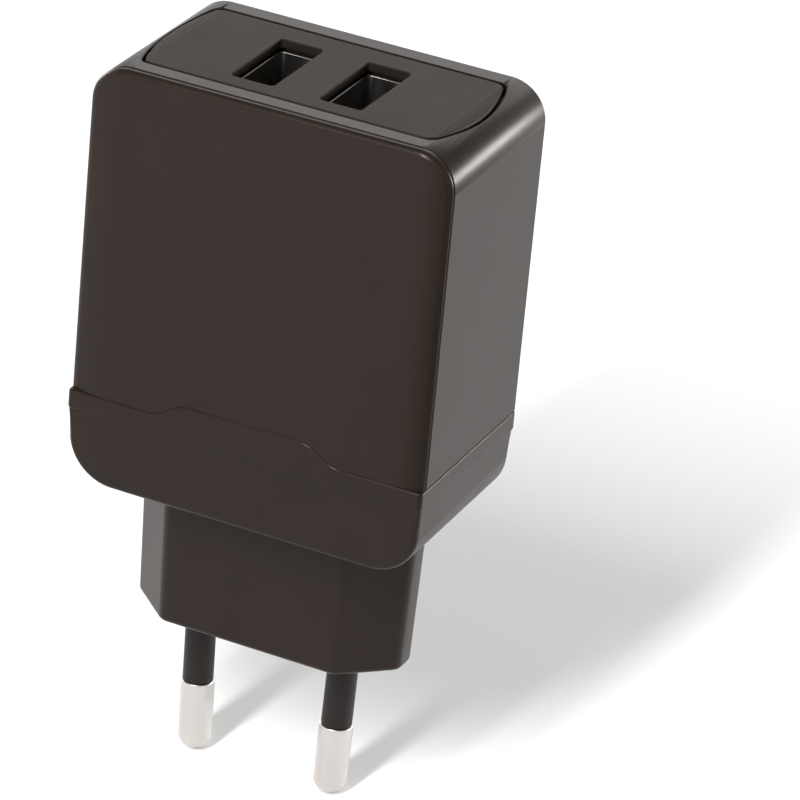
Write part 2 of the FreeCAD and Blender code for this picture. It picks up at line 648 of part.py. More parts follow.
def port_leaf(wall, place):
    """Holding spring cut from a long wall of the shell and bent a little inwards."""
    face = wall * PORT_INNER_X / 2
    sheet = wall * PORT_SHEET
    root_z = PORT_RIM_Z - LEAF_ROOT_DROP
    inner = [(face, root_z + LEAF_OVERLAP), (face - wall * LEAF_DIP, root_z - LEAF_LENGTH * LEAF_BEND_SHARE),
             (face - wall * LEAF_TIP_DIP, root_z - LEAF_LENGTH)]
    outer = [(x + sheet, z) for x, z in reversed(inner)]
    section = [VECTOR(x, place - LEAF_WIDTH / 2, z) for x, z in inner + outer]
    return prism(Part.makePolygon(section + section[:1]), VECTOR(0, LEAF_WIDTH, 0))


def port_shell(side):
    """Folded steel shell of a port, with four holding springs and four legs into the port board."""
    outer = rectangle(PORT_INNER_X / 2 + PORT_SHEET, -PORT_INNER_Y / 2 - PORT_SHEET,
                      PORT_INNER_Y / 2 + PORT_SHEET, PORT_CORNER + PORT_SHEET)
    inner = rectangle(PORT_INNER_X / 2, -PORT_INNER_Y / 2, PORT_INNER_Y / 2, PORT_CORNER)
    shell = plan_prism(outer, PORT_BASE_Z, PORT_RIM_Z)
    shell = shell.cut(plan_prism(inner, PORT_BASE_Z - PAST, PORT_RIM_Z + PAST))
    root_z = PORT_RIM_Z - LEAF_ROOT_DROP
    window_foot = root_z - LEAF_LENGTH - LEAF_WINDOW_FOOT
    half = LEAF_WIDTH / 2 + LEAF_SLIT
    for wall in (-1, 1):
        reach = PORT_INNER_X / 2 - LEAF_OVERLAP, PORT_INNER_X / 2 + PORT_SHEET + LEAF_OVERLAP
        x_low, x_high = sorted(wall * x for x in reach)
        for place in LEAF_PLACES:
            shell = shell.cut(block(x_low, x_high, place - half, place + half, window_foot, root_z))
            shell = shell.fuse(port_leaf(wall, place))
    legs = port_leg_solids(0, PORT_BOARD_Z - LEG_REACH, PORT_BASE_Z + PAST / 2)
    return at_port(shell.fuse(legs).removeSplitter(), side)


def tail_solids(growth, z_low, z_high):
    """Flat tails of the four contacts, grown by a gap."""
    half = TAIL_HALF_WIDTH + growth
    x_low = CONTACT_SHAPE[0][0] - growth
    x_high = CONTACT_SHAPE[0][0] + CONTACT_SHEET + growth
    return [block(x_low, x_high, place - half, place + half, z_low, z_high) for place in CONTACT_PLACES]


def port_tongue(side):
    """Moulded insulator: base block in the foot of the shell and a grooved tongue."""
    base_top = PORT_BASE_Z + TONGUE_BASE_HEIGHT
    tip_z = PORT_RIM_Z - TONGUE_TIP_DROP
    base_x = PORT_INNER_X / 2 - TONGUE_BASE_PLAY
    base_y = PORT_INNER_Y / 2 - TONGUE_BASE_END
    base = block(-base_x, base_x, -base_y, base_y, PORT_BASE_Z, base_top)
    tongue = block(0, TONGUE_THICKNESS, -TONGUE_HALF_WIDTH, TONGUE_HALF_WIDTH, base_top - PAST / 2, tip_z)
    tip_edges = edges_where(tongue, lambda box: box.ZMin > tip_z - NEAR)
    tongue = tongue.makeFillet(TONGUE_TIP_RADIUS, tip_edges)
    body = base.fuse(tongue).removeSplitter()
    for place in CONTACT_PLACES:
        y_low = place - GROOVE_WIDTH / 2
        y_high = place + GROOVE_WIDTH / 2
        body = body.cut(block(-GROOVE_RELIEF, GROOVE_DEPTH, y_low, y_high, base_top, tip_z - GROOVE_END))
    for tail in tail_solids(0, PORT_BASE_Z - PAST, base_top + GROOVE_RELIEF):
        body = body.cut(tail)
    return at_port(body, side)


def port_contacts(side):
    """The four spring fingers of a port: round root, straight arm, arched out near the tip."""
    front = [(x, CONTACT_ROOT_Z + height) for x, height in CONTACT_SHAPE]
    back = [(x + CONTACT_SHEET, z) for x, z in front]
    fingers = []
    for place in CONTACT_PLACES:
        start_y = place - CONTACT_WIDTH / 2
        near = [VECTOR(x, start_y, z) for x, z in front]
        far = [VECTOR(x, start_y, z) for x, z in back]
        foot = VECTOR(front[0][0] + CONTACT_SHEET / 2, start_y, CONTACT_ROOT_Z)
        edges = [Part.makeLine(near[0], near[1]), Part.Arc(near[1], near[2], near[3]).toShape(),
                 Part.makeLine(near[3], far[3]), Part.Arc(far[3], far[2], far[1]).toShape(),
                 Part.makeLine(far[1], far[0]), Part.Arc(far[0], foot, near[0]).toShape()]
        fingers.append(prism(Part.Wire(edges), VECTOR(0, CONTACT_WIDTH, 0)))
    return at_port(group(fingers), side)


def port_tails(side):
    """Fixed lower ends of the contacts: through the base block and the port board."""
    top = PORT_BASE_Z + TONGUE_BASE_HEIGHT + GROOVE_RELIEF
    return at_port(group(tail_solids(0, PORT_BOARD_Z - LEG_REACH, top)), side)


# ---- through-hole parts on the main board ---------------------------------------------------------------

def lead(x, z, start_y):
    """Round wire from a part's foot back through the board."""
    return rod(LEAD_RADIUS, VECTOR(x, start_y, z), VECTOR(x, LEAD_END_Y, z))


def can(radius, length):
    """Electrolytic can along +Z from its open end: rolled groove near the bung, rounded top rim."""
    low, middle, high = GROOVE_PLACES
    profile = [(0, 0), (radius - BUNG_EDGE, 0), (radius, CAN_EDGE), (radius, low),
               (radius - CAN_GROOVE_DEPTH, middle), (radius, high), (radius, length - CAN_EDGE),
               (radius - CAN_EDGE, length), (0, length)]
    points = [VECTOR(a, 0, b) for a, b in profile]
    face = Part.Face(Part.makePolygon(points + points[:1]))
    return face.revolve(VECTOR(0, 0, 0), Z_AXIS, 360)


def board_can(place, size, pitch):
    """Radial capacitor that stands out from the main board, with its two leads."""
    x, z = place
    foot_y = MAIN_BOARD_Y - STANDOFF
    shape = can(*size)
    shape.rotate(VECTOR(0, 0, 0), X_AXIS, 90)
    shape.translate(VECTOR(x, foot_y, z))
    return group([shape, lead(x, z - pitch / 2, foot_y), lead(x, z + pitch / 2, foot_y)])


def axial_lead(start, end, stop_x):
    """Wire from an axial part's end, bent back into the board."""
    offset = AXIAL_BEND * (1 - math.sqrt(0.5))
    turn_start = VECTOR(stop_x - end * AXIAL_BEND, start.y, start.z)
    turn_middle = VECTOR(stop_x - end * offset, start.y + offset, start.z)
    turn_end = VECTOR(stop_x, start.y + AXIAL_BEND, start.z)
    bend = Part.Arc(turn_start, turn_middle, turn_end).toShape()
    foot = Part.makeLine(turn_end, VECTOR(stop_x, LEAD_END_Y, start.z))
    path = Part.Wire([Part.makeLine(start, turn_start), bend, foot])
    section = Part.Wire([Part.makeCircle(LEAD_RADIUS, start, X_AXIS * end)])
    return path.makePipeShell([section], True, False)


def axial_part(place, size, pitch):
    """Axial part lying along X, thicker at its ends, with both leads bent back into the board."""
    x, z = place
    radius, length = size
    centre_y = MAIN_BOARD_Y - STANDOFF - radius
    waist = radius * AXIAL_WAIST
    shoulder = length / 2 - length * AXIAL_BULGE
    profile = [(0, -length / 2), (radius, -length / 2), (radius, -shoulder), (waist, AXIAL_STEP - shoulder),
               (waist, shoulder - AXIAL_STEP), (radius, shoulder), (radius, length / 2), (0, length / 2)]
    points = [VECTOR(a, 0, b) for a, b in profile]
    body = Part.Face(Part.makePolygon(points + points[:1])).revolve(VECTOR(0, 0, 0), Z_AXIS, 360)
    body.rotate(VECTOR(0, 0, 0), Y_AXIS, 90)
    body.translate(VECTOR(x, centre_y, z))
    leads = []
    for end in (-1, 1):
        leads.append(axial_lead(VECTOR(x + end * length / 2, centre_y, z), end, x + end * pitch / 2))
    return group([body] + leads)


def chip(place, size, lead_places):
    """Moulded package against the front of the main board, with its leads through the board."""
    x, z = place
    size_x, size_z, height = size
    back_y = MAIN_BOARD_Y - STANDOFF
    face_y = back_y - height
    package = block(x - size_x / 2, x + size_x / 2, face_y, back_y, z - size_z / 2, z + size_z / 2)
    package = package.makeChamfer(CHIP_CHAMFER, edges_where(package, lambda box: box.YMax < face_y + NEAR))
    return group([package] + [lead(lead_x, lead_z, back_y) for lead_x, lead_z in lead_places])


def pair(place, half_x, half_z):
    """Lead places at (x -+ half_x, z -+ half_z), leaving out repeats."""
    x, z = place
    return sorted({(x + a * half_x, z + b * half_z) for a in (-1, 1) for b in (-1, 1)})


def bridge_leads():
    """(x, z) of the bridge's four leads."""
    return pair(BRIDGE_PLACE, *BRIDGE_LEAD_HALF)


def opto_leads():
    """(x, z) of the optocoupler's four leads."""
    return pair(OPTO_PLACE, *OPTO_LEAD_HALF)


def header_places():
    """X of each header pin."""
    first = -HEADER_PITCH * (HEADER_COUNT - 1) / 2
    return [first + HEADER_PITCH * index for index in range(HEADER_COUNT)]


def transformer_pin_places():
    """(x, z) of each transformer pin."""
    x, z = TRANSFORMER_PLACE
    return [(x + step, z + row * TRANSFORMER_PIN_Z) for row in (-1, 1) for step in TRANSFORMER_PIN_X]


def main_board_leads():
    """(x, z) of every lead that passes through the main board."""
    places = []
    for place in INPUT_CAPACITORS.values():
        places += pair(place, 0, CAPACITOR_PITCH / 2)
    places += pair(AUX_PLACE, 0, AUX_PITCH / 2)
    places += pair(CHOKE_PLACE, 0, CHOKE_PITCH / 2)
    places += pair(FUSE_PLACE, FUSE_PITCH / 2, 0)
    places += pair(DIODE_PLACE, DIODE_PITCH / 2, 0)
    places += pair(SAFETY_PLACE, SAFETY_PITCH / 2, 0)
    places += bridge_leads() + opto_leads() + transformer_pin_places()
    return places


def header_height():
    """Z of the header pins where they pass through the main board."""
    return PORT_BOARD_Z - HEADER_SIZE / 2


def main_board():
    """Upright board, parallel to the front cover, drilled for every lead."""
    foot_radius, step_radius, top_radius = BOARD_CORNERS
    right = [(MAIN_BOARD_FOOT_HALF, MAIN_BOARD_BOTTOM, foot_radius),
             (MAIN_BOARD_FOOT_HALF, MAIN_BOARD_STEP, step_radius),
             (MAIN_BOARD_HALF, MAIN_BOARD_STEP, step_radius), (MAIN_BOARD_HALF, MAIN_BOARD_TOP, top_radius)]
    corners = right + [(-x, z, radius) for x, z, radius in reversed(right)]
    board = front_prism(corners, MAIN_BOARD_Y, MAIN_BOARD_BACK)
    front = MAIN_BOARD_Y - PAST
    back = MAIN_BOARD_BACK + PAST
    places = main_board_leads() + [(x, header_height()) for x in header_places()]
    return board.cut([rod(HOLE_RADIUS, VECTOR(x, front, z), VECTOR(x, back, z)) for x, z in places])


def solder_joints():
    """A cone of solder round each lead at the back of the main board."""
    joints = []
    for x, z in main_board_leads():
        cone = Part.makeCone(SOLDER_FOOT, SOLDER_TIP, SOLDER_HEIGHT, VECTOR(x, MAIN_BOARD_BACK, z), Y_AXIS)
        joints.append(cone.cut(lead(x, z, MAIN_BOARD_Y)))
    return group(joints)


def port_board():
    """Level board under the top that carries both ports and the output capacitors."""
    corners = rectangle(PORT_BOARD_HALF, PORT_BOARD_FRONT, PORT_BOARD_BACK, BOARD_CORNERS[-1])
    board = plan_prism(corners, PORT_BOARD_Z, PORT_BASE_Z)
    low = PORT_BOARD_Z - PAST
    high = PORT_BASE_Z + PAST
    holes = [rod(HOLE_RADIUS, VECTOR(x, HEADER_Y, low), VECTOR(x, HEADER_Y, high)) for x in header_places()]
    for side in SIDES.values():
        slots = port_leg_solids(SLOT_GAP, low, high) + tail_solids(SLOT_GAP, low, high)
        holes += [at_port(slot, side) for slot in slots]
        for offset in (-OUTPUT_PITCH / 2, OUTPUT_PITCH / 2):
            x = side * OUTPUT_X
            y = OUTPUT_Y + offset
            holes.append(rod(HOLE_RADIUS, VECTOR(x, y, low), VECTOR(x, y, high)))
    return board.cut(holes)


def board_header():
    """Plastic strip of the angled header that joins the two boards."""
    half = HEADER_PITCH * HEADER_COUNT / 2
    strip = block(-half, half, HEADER_Y - HEADER_SIZE / 2, HEADER_Y + HEADER_SIZE / 2,
                  PORT_BOARD_Z - HEADER_SIZE, PORT_BOARD_Z)
    return strip.cut(header_pins())


def header_pins():
    """Six square pins: up through the port board and back through the main board."""
    half = HEADER_PIN / 2
    level = header_height()
    pins = []
    for x in header_places():
        upright = block(x - half, x + half, HEADER_Y - half, HEADER_Y + half, level - half, PORT_BASE_Z)
        back = block(x - half, x + half, HEADER_Y - half, LEAD_END_Y, level - half, level + half)
        pins.append(upright.fuse(back).removeSplitter())
    return group(pins)


def fuse_resistor():
    """Fusible resistor in the mains line."""
    return axial_part(FUSE_PLACE, FUSE_SIZE, FUSE_PITCH)


def snubber_diode():
    """Diode of the snubber beside the transformer."""
    return axial_part(DIODE_PLACE, DIODE_SIZE, DIODE_PITCH)


def bridge_rectifier():
    """Four-lead bridge package."""
    return chip(BRIDGE_PLACE, BRIDGE_SIZE, bridge_leads())


def optocoupler():
    """Four-lead optocoupler between the primary and secondary sides."""
    return chip(OPTO_PLACE, OPTO_SIZE, opto_leads())


def input_choke_core():
    """Ferrite drum with a flange at each end, and its two leads."""
    x, z = CHOKE_PLACE
    foot_y = MAIN_BOARD_Y - STANDOFF
    inner = CHOKE_LENGTH - CHOKE_FLANGE
    profile = [(0, 0), (CHOKE_FLANGE_RADIUS, 0), (CHOKE_FLANGE_RADIUS, CHOKE_FLANGE),
               (CHOKE_CORE_RADIUS, CHOKE_FLANGE), (CHOKE_CORE_RADIUS, inner), (CHOKE_FLANGE_RADIUS, inner),
               (CHOKE_FLANGE_RADIUS, CHOKE_LENGTH), (0, CHOKE_LENGTH)]
    points = [VECTOR(a, 0, b) for a, b in profile]
    drum = Part.Face(Part.makePolygon(points + points[:1])).revolve(VECTOR(0, 0, 0), Z_AXIS, 360)
    drum.rotate(VECTOR(0, 0, 0), X_AXIS, 90)
    drum.translate(VECTOR(x, foot_y, z))
    return group([drum, lead(x, z - CHOKE_PITCH / 2, foot_y), lead(x, z + CHOKE_PITCH / 2, foot_y)])


def input_choke_winding():
    """Copper winding between the drum's flanges."""
    x, z = CHOKE_PLACE
    foot_y = MAIN_BOARD_Y - STANDOFF
    start = VECTOR(x, foot_y - CHOKE_LENGTH + CHOKE_FLANGE + CHOKE_WIRE_GAP, z)
    end = VECTOR(x, foot_y - CHOKE_FLANGE - CHOKE_WIRE_GAP, z)
    return rod(CHOKE_WIRE_RADIUS, start, end).cut(rod(CHOKE_CORE_RADIUS, start - Y_AXIS, end + Y_AXIS))


def safety_capacitor():
    """Disc capacitor between the primary and secondary sides, with its two leads."""
    x, z = SAFETY_PLACE
    centre_y = MAIN_BOARD_Y - SAFETY_STANDOFF - SAFETY_RADIUS
    disc = rod(SAFETY_RADIUS, VECTOR(x, centre_y, z - SAFETY_HALF_THICKNESS),
               VECTOR(x, centre_y, z + SAFETY_HALF_THICKNESS))
    disc = disc.makeFillet(SAFETY_EDGE, edges_where(disc, lambda box: box.ZLength < NEAR))
    leads = []
    for end in (-1, 1):
        wire = lead(x + end * SAFETY_PITCH / 2, z, centre_y)
        leads.append(wire.cut(disc))
    return group([disc] + leads)


def aux_capacitor():
    """Small supply capacitor for the controller."""
    return board_can(AUX_PLACE, AUX_SIZE, AUX_PITCH)


def chip_parts(row, height):
    """Small surface-mounted blocks in two rows on the back of the main board."""
    half_x = CHIP_SIZE[0] / 2
    half_z = CHIP_SIZE[1] / 2
    top = MAIN_BOARD_BACK + height
    return group([block(x - half_x, x + half_x, MAIN_BOARD_BACK, top, z - half_z, z + half_z)
                  for z in CHIP_ROWS_Z for x in row])


def smd_resistors():
    """Chip resistors."""
    return chip_parts(RESISTORS_X, RESISTOR_HEIGHT)


def smd_capacitors():
    """Chip capacitors."""
    return chip_parts(CAPACITORS_X, CAPACITOR_HEIGHT)


def controller_ic():
    """Eight-lead controller on the back of the main board, with its gull-wing leads."""
    x, z = CONTROLLER_PLACE
    half_x, half_z = CONTROLLER_HALF
    low, high = (MAIN_BOARD_BACK + height for height in CONTROLLER_HEIGHT)
    body = block(x - half_x, x + half_x, low, high, z - half_z, z + half_z)
    body = body.makeChamfer(CONTROLLER_CHAMFER, edges_where(body, lambda box: box.YMin > high - NEAR))
    foot_top = MAIN_BOARD_BACK + CONTROLLER_LEAD_SHEET
    feet = []
    for step in CONTROLLER_LEADS_X:
        x_low = x + step - CONTROLLER_LEAD_HALF
        x_high = x + step + CONTROLLER_LEAD_HALF
        for row in (-1, 1):
            z_low, z_high = sorted((z + row * half_z, z + row * CONTROLLER_LEAD_REACH))
            feet.append(block(x_low, x_high, MAIN_BOARD_BACK, foot_top, z_low, z_high))
    return group([body] + feet)


def output_rectifier():
    """Flat power diode on the front of the main board, above the transformer."""
    x, z = RECTIFIER_PLACE
    half_x, half_z = RECTIFIER_HALF
    face_y = MAIN_BOARD_Y - RECTIFIER_HEIGHT
    body = block(x - half_x, x + half_x, face_y, MAIN_BOARD_Y, z - half_z, z + half_z)
    return body.makeChamfer(RECTIFIER_CHAMFER, edges_where(body, lambda box: box.YMax < face_y + NEAR))


def insulation_sheet():
    """Thin insulating sheet between the back of the main board and the housing."""
    low, high = SHEET_Z
    radius = BOARD_CORNERS[-1]
    return front_prism(rectangle(SHEET_HALF, low, high, radius), *SHEET_Y)


# ---- transformer, drawn about its own centre ------------------------------------------------------------

def at_transformer(shape):
    """Moves a shape drawn about the transformer's centre to its place."""
    moved = shape.copy()
    moved.translate(VECTOR(TRANSFORMER_PLACE[0], TRANSFORMER_Y, TRANSFORMER_PLACE[1]))
    return moved


def ring(outer_x, outer_y, inner_x, inner_y, half_z, radius):
    """Rectangular ring with rounded corners, centred on the origin."""
    outer = plan_prism(rectangle(outer_x, -outer_y, outer_y, radius), -half_z, half_z)
    inner = rectangle(inner_x, -inner_y, inner_y, radius * INNER_RADIUS_SHARE)
    return outer.cut(plan_prism(inner, -half_z - PAST, half_z + PAST))


def transformer_core():
    """Two ferrite E halves that meet at the middle of the legs."""
    halves = []
    for end in (-1, 1):
        z_low, z_high = sorted((0, end * CORE_HALF_Z))
        half = block(-CORE_HALF_X, CORE_HALF_X, -CORE_HALF_Y, CORE_HALF_Y, z_low, z_high)
        window_low, window_high = sorted((0, end * CORE_WINDOW_Z))
        for side in (-1, 1):
            x_low, x_high = sorted((side * CORE_MIDDLE_X, side * CORE_LEG_X))
            reach = CORE_HALF_Y + PAST
            half = half.cut(block(x_low, x_high, -reach, reach, window_low, window_high))
        halves.append(half)
    return at_transformer(group(halves))


def transformer_bobbin():
    """Bobbin: tube round the middle leg, two flanges, and a pin rail at each end."""
    bore_x = CORE_MIDDLE_X + FIT_GAP
    bore_y = CORE_HALF_Y + FIT_GAP
    shape = ring(bore_x + BOBBIN_TUBE_X, bore_y + BOBBIN_WALL, bore_x, bore_y, BOBBIN_HALF_Z, BOBBIN_CORNER)
    rail_face = MAIN_BOARD_Y - RAIL_STANDOFF - TRANSFORMER_Y
    for end in (-1, 1):
        z_low, z_high = sorted((end * (COIL_HALF_Z + FIT_GAP), end * BOBBIN_HALF_Z))
        flange = block(-BOBBIN_HALF_X, BOBBIN_HALF_X, BOBBIN_FRONT_Y, rail_face, z_low, z_high)
        hole = block(-bore_x, bore_x, -bore_y, bore_y, z_low, z_high)
        rail_low, rail_high = sorted((end * (COIL_HALF_Z + FIT_GAP), end * RAIL_HALF_Z))
        rail = block(-RAIL_HALF_X, RAIL_HALF_X, CORE_HALF_Y + RAIL_FRONT_GAP, rail_face, rail_low, rail_high)
        shape = shape.fuse([flange.cut(hole), rail])
    return at_transformer(shape.removeSplitter())


def transformer_winding():
    """Copper winding on the bobbin."""
    inner_x = CORE_MIDDLE_X + FIT_GAP + BOBBIN_TUBE_X + WINDING_PLAY
    inner_y = CORE_HALF_Y + FIT_GAP + BOBBIN_WALL + WINDING_PLAY
    return at_transformer(ring(COIL_HALF_X, COIL_HALF_Y, inner_x, inner_y, COIL_HALF_Z, COIL_CORNER))


def transformer_tape():
    """Turns of insulating tape over the winding."""
    outer = COIL_HALF_X + TAPE_THICKNESS, COIL_HALF_Y + TAPE_THICKNESS
    inner = COIL_HALF_X + WINDING_PLAY, COIL_HALF_Y + WINDING_PLAY
    return at_transformer(ring(*outer, *inner, COIL_HALF_Z - FIT_GAP, COIL_CORNER))


def transformer_pins():
    """Eight pins from the bobbin's rails through the main board."""
    return group([lead(x, z, MAIN_BOARD_Y - RAIL_STANDOFF) for x, z in transformer_pin_places()])


# ---- parts on the port board ----------------------------------------------------------------------------

def output_capacitor(side):
    """Low-voltage capacitor beside a port, upright on the port board."""
    foot_z = PORT_BASE_Z + STANDOFF
    shape = can(*OUTPUT_SIZE)
    shape.translate(VECTOR(side * OUTPUT_X, OUTPUT_Y, foot_z))
    leads = []
    for offset in (-OUTPUT_PITCH / 2, OUTPUT_PITCH / 2):
        place = VECTOR(side * OUTPUT_X, OUTPUT_Y + offset, 0)
        leads.append(rod(LEAD_RADIUS, place + Z_AXIS * (PORT_BOARD_Z - LEG_REACH), place + Z_AXIS * foot_z))
    return group([shape] + leads)


def charge_control_ics():
    """Two small charge-control chips between the ports."""
    half_x, half_y = CHARGE_CHIP_HALF
    top = PORT_BASE_Z + CHARGE_CHIP_HEIGHT
    return group([block(-half_x, half_x, y - half_y, y + half_y, PORT_BASE_Z, top)
                  for y in CHARGE_CHIP_PLACES])


# ---- every node -----------------------------------------------------------------------------------------

def all_nodes():
    """Node name to shape."""
    nodes = {"rear_housing": rear_housing(), "front_cover": front_cover(), "port_plate": port_plate(),
             "lower_cap": lower_cap(), "plug_body": plug_body(), "main_board": main_board(),
             "port_board": port_board(), "board_header": board_header(), "header_pins": header_pins(),
             "solder_joints": solder_joints(), "insulation_sheet": insulation_sheet(),
             "fuse_resistor": fuse_resistor(), "bridge_rectifier": bridge_rectifier(),
             "input_choke_core": input_choke_core(), "input_choke_winding": input_choke_winding(),
             "transformer_core": transformer_core(), "transformer_bobbin": transformer_bobbin(),
             "transformer_winding": transformer_winding(), "transformer_tape": transformer_tape(),
             "transformer_pins": transformer_pins(), "controller_ic": controller_ic(),
             "optocoupler": optocoupler(), "safety_capacitor": safety_capacitor(),
             "aux_capacitor": aux_capacitor(), "snubber_diode": snubber_diode(),
             "output_rectifier": output_rectifier(), "charge_control_ics": charge_control_ics(),
             "smd_resistors": smd_resistors(), "smd_capacitors": smd_capacitors()}
    for level, place in INPUT_CAPACITORS.items():
        nodes["input_capacitor_" + level] = board_can(place, CAPACITOR_SIZE, CAPACITOR_PITCH)
    sided = {"pin": pin, "pin_sleeve": pin_sleeve, "mains_contact": mains_contact,
             "port_shell": port_shell, "port_tongue": port_tongue, "port_contacts": port_contacts,
             "port_tails": port_tails, "output_capacitor": output_capacitor}
    for name, make in sided.items():
        for word, side in SIDES.items():
            nodes[word + "_" + name] = make(side)
    return nodes


os.makedirs("parts", exist_ok=True)
for node, shape in all_nodes().items():
    shape.exportStep("parts/" + node + ".step")
    print(node, len(shape.Solids), round(shape.Volume, 1), shape.isValid())
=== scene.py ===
import math
import bmesh
import bpy
from mathutils import Matrix, Vector


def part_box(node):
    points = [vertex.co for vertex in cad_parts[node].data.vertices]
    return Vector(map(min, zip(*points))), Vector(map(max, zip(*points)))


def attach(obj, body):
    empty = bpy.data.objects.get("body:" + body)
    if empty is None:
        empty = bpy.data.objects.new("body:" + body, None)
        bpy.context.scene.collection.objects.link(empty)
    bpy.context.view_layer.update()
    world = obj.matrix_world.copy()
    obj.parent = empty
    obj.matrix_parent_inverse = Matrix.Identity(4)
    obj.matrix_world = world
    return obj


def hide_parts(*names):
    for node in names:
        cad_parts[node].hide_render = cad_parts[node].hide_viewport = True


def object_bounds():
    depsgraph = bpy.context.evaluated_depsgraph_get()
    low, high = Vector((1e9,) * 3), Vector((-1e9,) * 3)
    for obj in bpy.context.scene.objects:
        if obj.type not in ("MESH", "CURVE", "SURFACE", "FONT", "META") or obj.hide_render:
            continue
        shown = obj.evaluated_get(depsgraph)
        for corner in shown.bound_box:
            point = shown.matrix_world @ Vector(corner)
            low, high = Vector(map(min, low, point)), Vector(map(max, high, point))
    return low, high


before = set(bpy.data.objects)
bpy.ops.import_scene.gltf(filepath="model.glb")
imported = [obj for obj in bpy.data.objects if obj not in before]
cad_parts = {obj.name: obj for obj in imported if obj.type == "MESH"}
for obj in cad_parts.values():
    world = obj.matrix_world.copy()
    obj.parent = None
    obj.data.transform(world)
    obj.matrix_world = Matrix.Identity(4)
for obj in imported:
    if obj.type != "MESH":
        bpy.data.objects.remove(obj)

MM = 0.001
cad_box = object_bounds()


# ---- view ------------------------------------------------
# A long lens looks down at the front and the right side, turned a little so that the charger leans left.
VIEW_TARGET = Vector((0, 0, 0.031))
VIEW_AZIMUTH = math.radians(23.17)
VIEW_ELEVATION = math.radians(26.58)
VIEW_ROLL = math.radians(-5.60)
VIEW_DISTANCE = 0.56033
VIEW_SLIDE = Vector((0.01194, -0.00158))

back = Vector((math.sin(VIEW_AZIMUTH) * math.cos(VIEW_ELEVATION),
               -math.cos(VIEW_AZIMUTH) * math.cos(VIEW_ELEVATION), math.sin(VIEW_ELEVATION)))
right = Vector((math.cos(VIEW_AZIMUTH), math.sin(VIEW_AZIMUTH), 0))
up = back.cross(right)
view_right = right * math.cos(VIEW_ROLL) - up * math.sin(VIEW_ROLL)
view_up = right * math.sin(VIEW_ROLL) + up * math.cos(VIEW_ROLL)

lens = bpy.data.cameras.new("camera")
lens.sensor_width = 36
lens.lens = 223.4
camera = bpy.data.objects.new("camera", lens)
bpy.context.collection.objects.link(camera)
turn = Matrix((view_right, view_up, back)).transposed()
place = VIEW_TARGET + back * VIEW_DISTANCE + view_right * VIEW_SLIDE.x + view_up * VIEW_SLIDE.y
camera.matrix_world = Matrix.Translation(place) @ turn.to_4x4()
bpy.context.scene.camera = camera
bpy.context.scene.view_settings.view_transform = "Standard"


# ---- front cover -----------------------------------------
# The satin panel that closes the front: moulded in warm near-black plastic, softly pillowed towards both
# sides, with a thin rounded rim. It closes the rear housing's open front and is notched for the collar's tab.

class Finish:
    """A node material whose patterns use the object's own coordinates."""

    def __init__(self, name, metallic=0.0, specular=0.5):
        self.material = bpy.data.materials.new(name)
        self.material.use_nodes = True
        self.tree = self.material.node_tree
        self.shader = self.tree.nodes["Principled BSDF"]
        self.shader.inputs["Metallic"].default_value = metallic
        self.shader.inputs["Specular IOR Level"].default_value = specular
        place = self.tree.nodes.new("ShaderNodeTexCoord")
        self.where = place.outputs["Object"]
        self.facing = place.outputs["Normal"]

    def node(self, kind, output, inputs, **settings):
        """A node with settings and with inputs, each a value or an output; returns one of its outputs."""
        made = self.tree.nodes.new(kind)
        for setting, value in settings.items():
            setattr(made, setting, value)
        for key, value in inputs.items():
            if isinstance(value, bpy.types.NodeSocket):
                self.tree.links.new(value, made.inputs[key])
            else:
                made.inputs[key].default_value = value
        return made.outputs[output]

    def noise(self, scale, detail=2, stretch=(1, 1, 1)):
        """Noise level from 0 to 1, drawn out along an axis by a small stretch."""
        vector = self.node("ShaderNodeMapping", "Vector", {"Vector": self.where, "Scale": stretch})
        return self.node("ShaderNodeTexNoise", "Fac", {"Vector": vector, "Scale": scale, "Detail": detail})

    def bands(self, axis, pitch):
        """Level of smooth bands across one axis."""
        inputs = {"Vector": self.where, "Scale": math.tau / 20 / pitch, "Distortion": 0.0}
        return self.node("ShaderNodeTexWave", "Fac", inputs, bands_direction=axis)

    def beyond(self, centre, across, reach):
        """1 where a point is more than a reach from a centre, measured along the chosen axes; otherwise 0."""
        offset = self.node("ShaderNodeVectorMath", "Vector", {0: self.where, 1: centre}, operation="SUBTRACT")
        chosen = self.node("ShaderNodeVectorMath", "Vector", {0: offset, 1: across}, operation="MULTIPLY")
        length = self.node("ShaderNodeVectorMath", "Value", {0: chosen}, operation="LENGTH")
        return self.node("ShaderNodeMath", "Value", {0: length, 1: reach}, operation="GREATER_THAN")

    def blend(self, level, low, high):
        """Colour that goes from one to another with a level."""
        inputs = {"Factor": level}
        for key, value in (("A", low), ("B", high)):
            inputs[key] = value if isinstance(value, bpy.types.NodeSocket) else (*value, 1)
        return self.node("ShaderNodeMix", "Result", inputs, data_type="RGBA")

    def span(self, level, low, high):
        """Number that goes from one to another with a level."""
        return self.node("ShaderNodeMapRange", "Result", {"Value": level, "To Min": low, "To Max": high})

    def use(self, socket, source):
        """Feeds one of the shader's sockets."""
        self.tree.links.new(source, self.shader.inputs[socket])

    def bump(self, level, depth):
        """Raises the surface with a level."""
        self.use("Normal", self.node("ShaderNodeBump", "Normal", {"Height": level, "Distance": depth}))


def shade(colour, amount):
    """A colour made darker or lighter."""
    return [value * amount for value in colour]


def plastic(name, dark, roughness, grain, grain_depth):
    """Moulded plastic: slight mottling of colour and gloss, and a fine moulded grain."""
    finish = Finish(name, specular=0.18)
    finish.shader.inputs["Specular Tint"].default_value = (1, 0.88, 0.85, 1)
    cloud = finish.noise(140, 5)
    finish.use("Base Color", finish.blend(cloud, shade(dark, 0.88), shade(dark, 1.14)))
    finish.use("Roughness", finish.span(cloud, roughness - 0.05, roughness + 0.05))
    finish.bump(finish.noise(grain), grain_depth)
    return finish.material


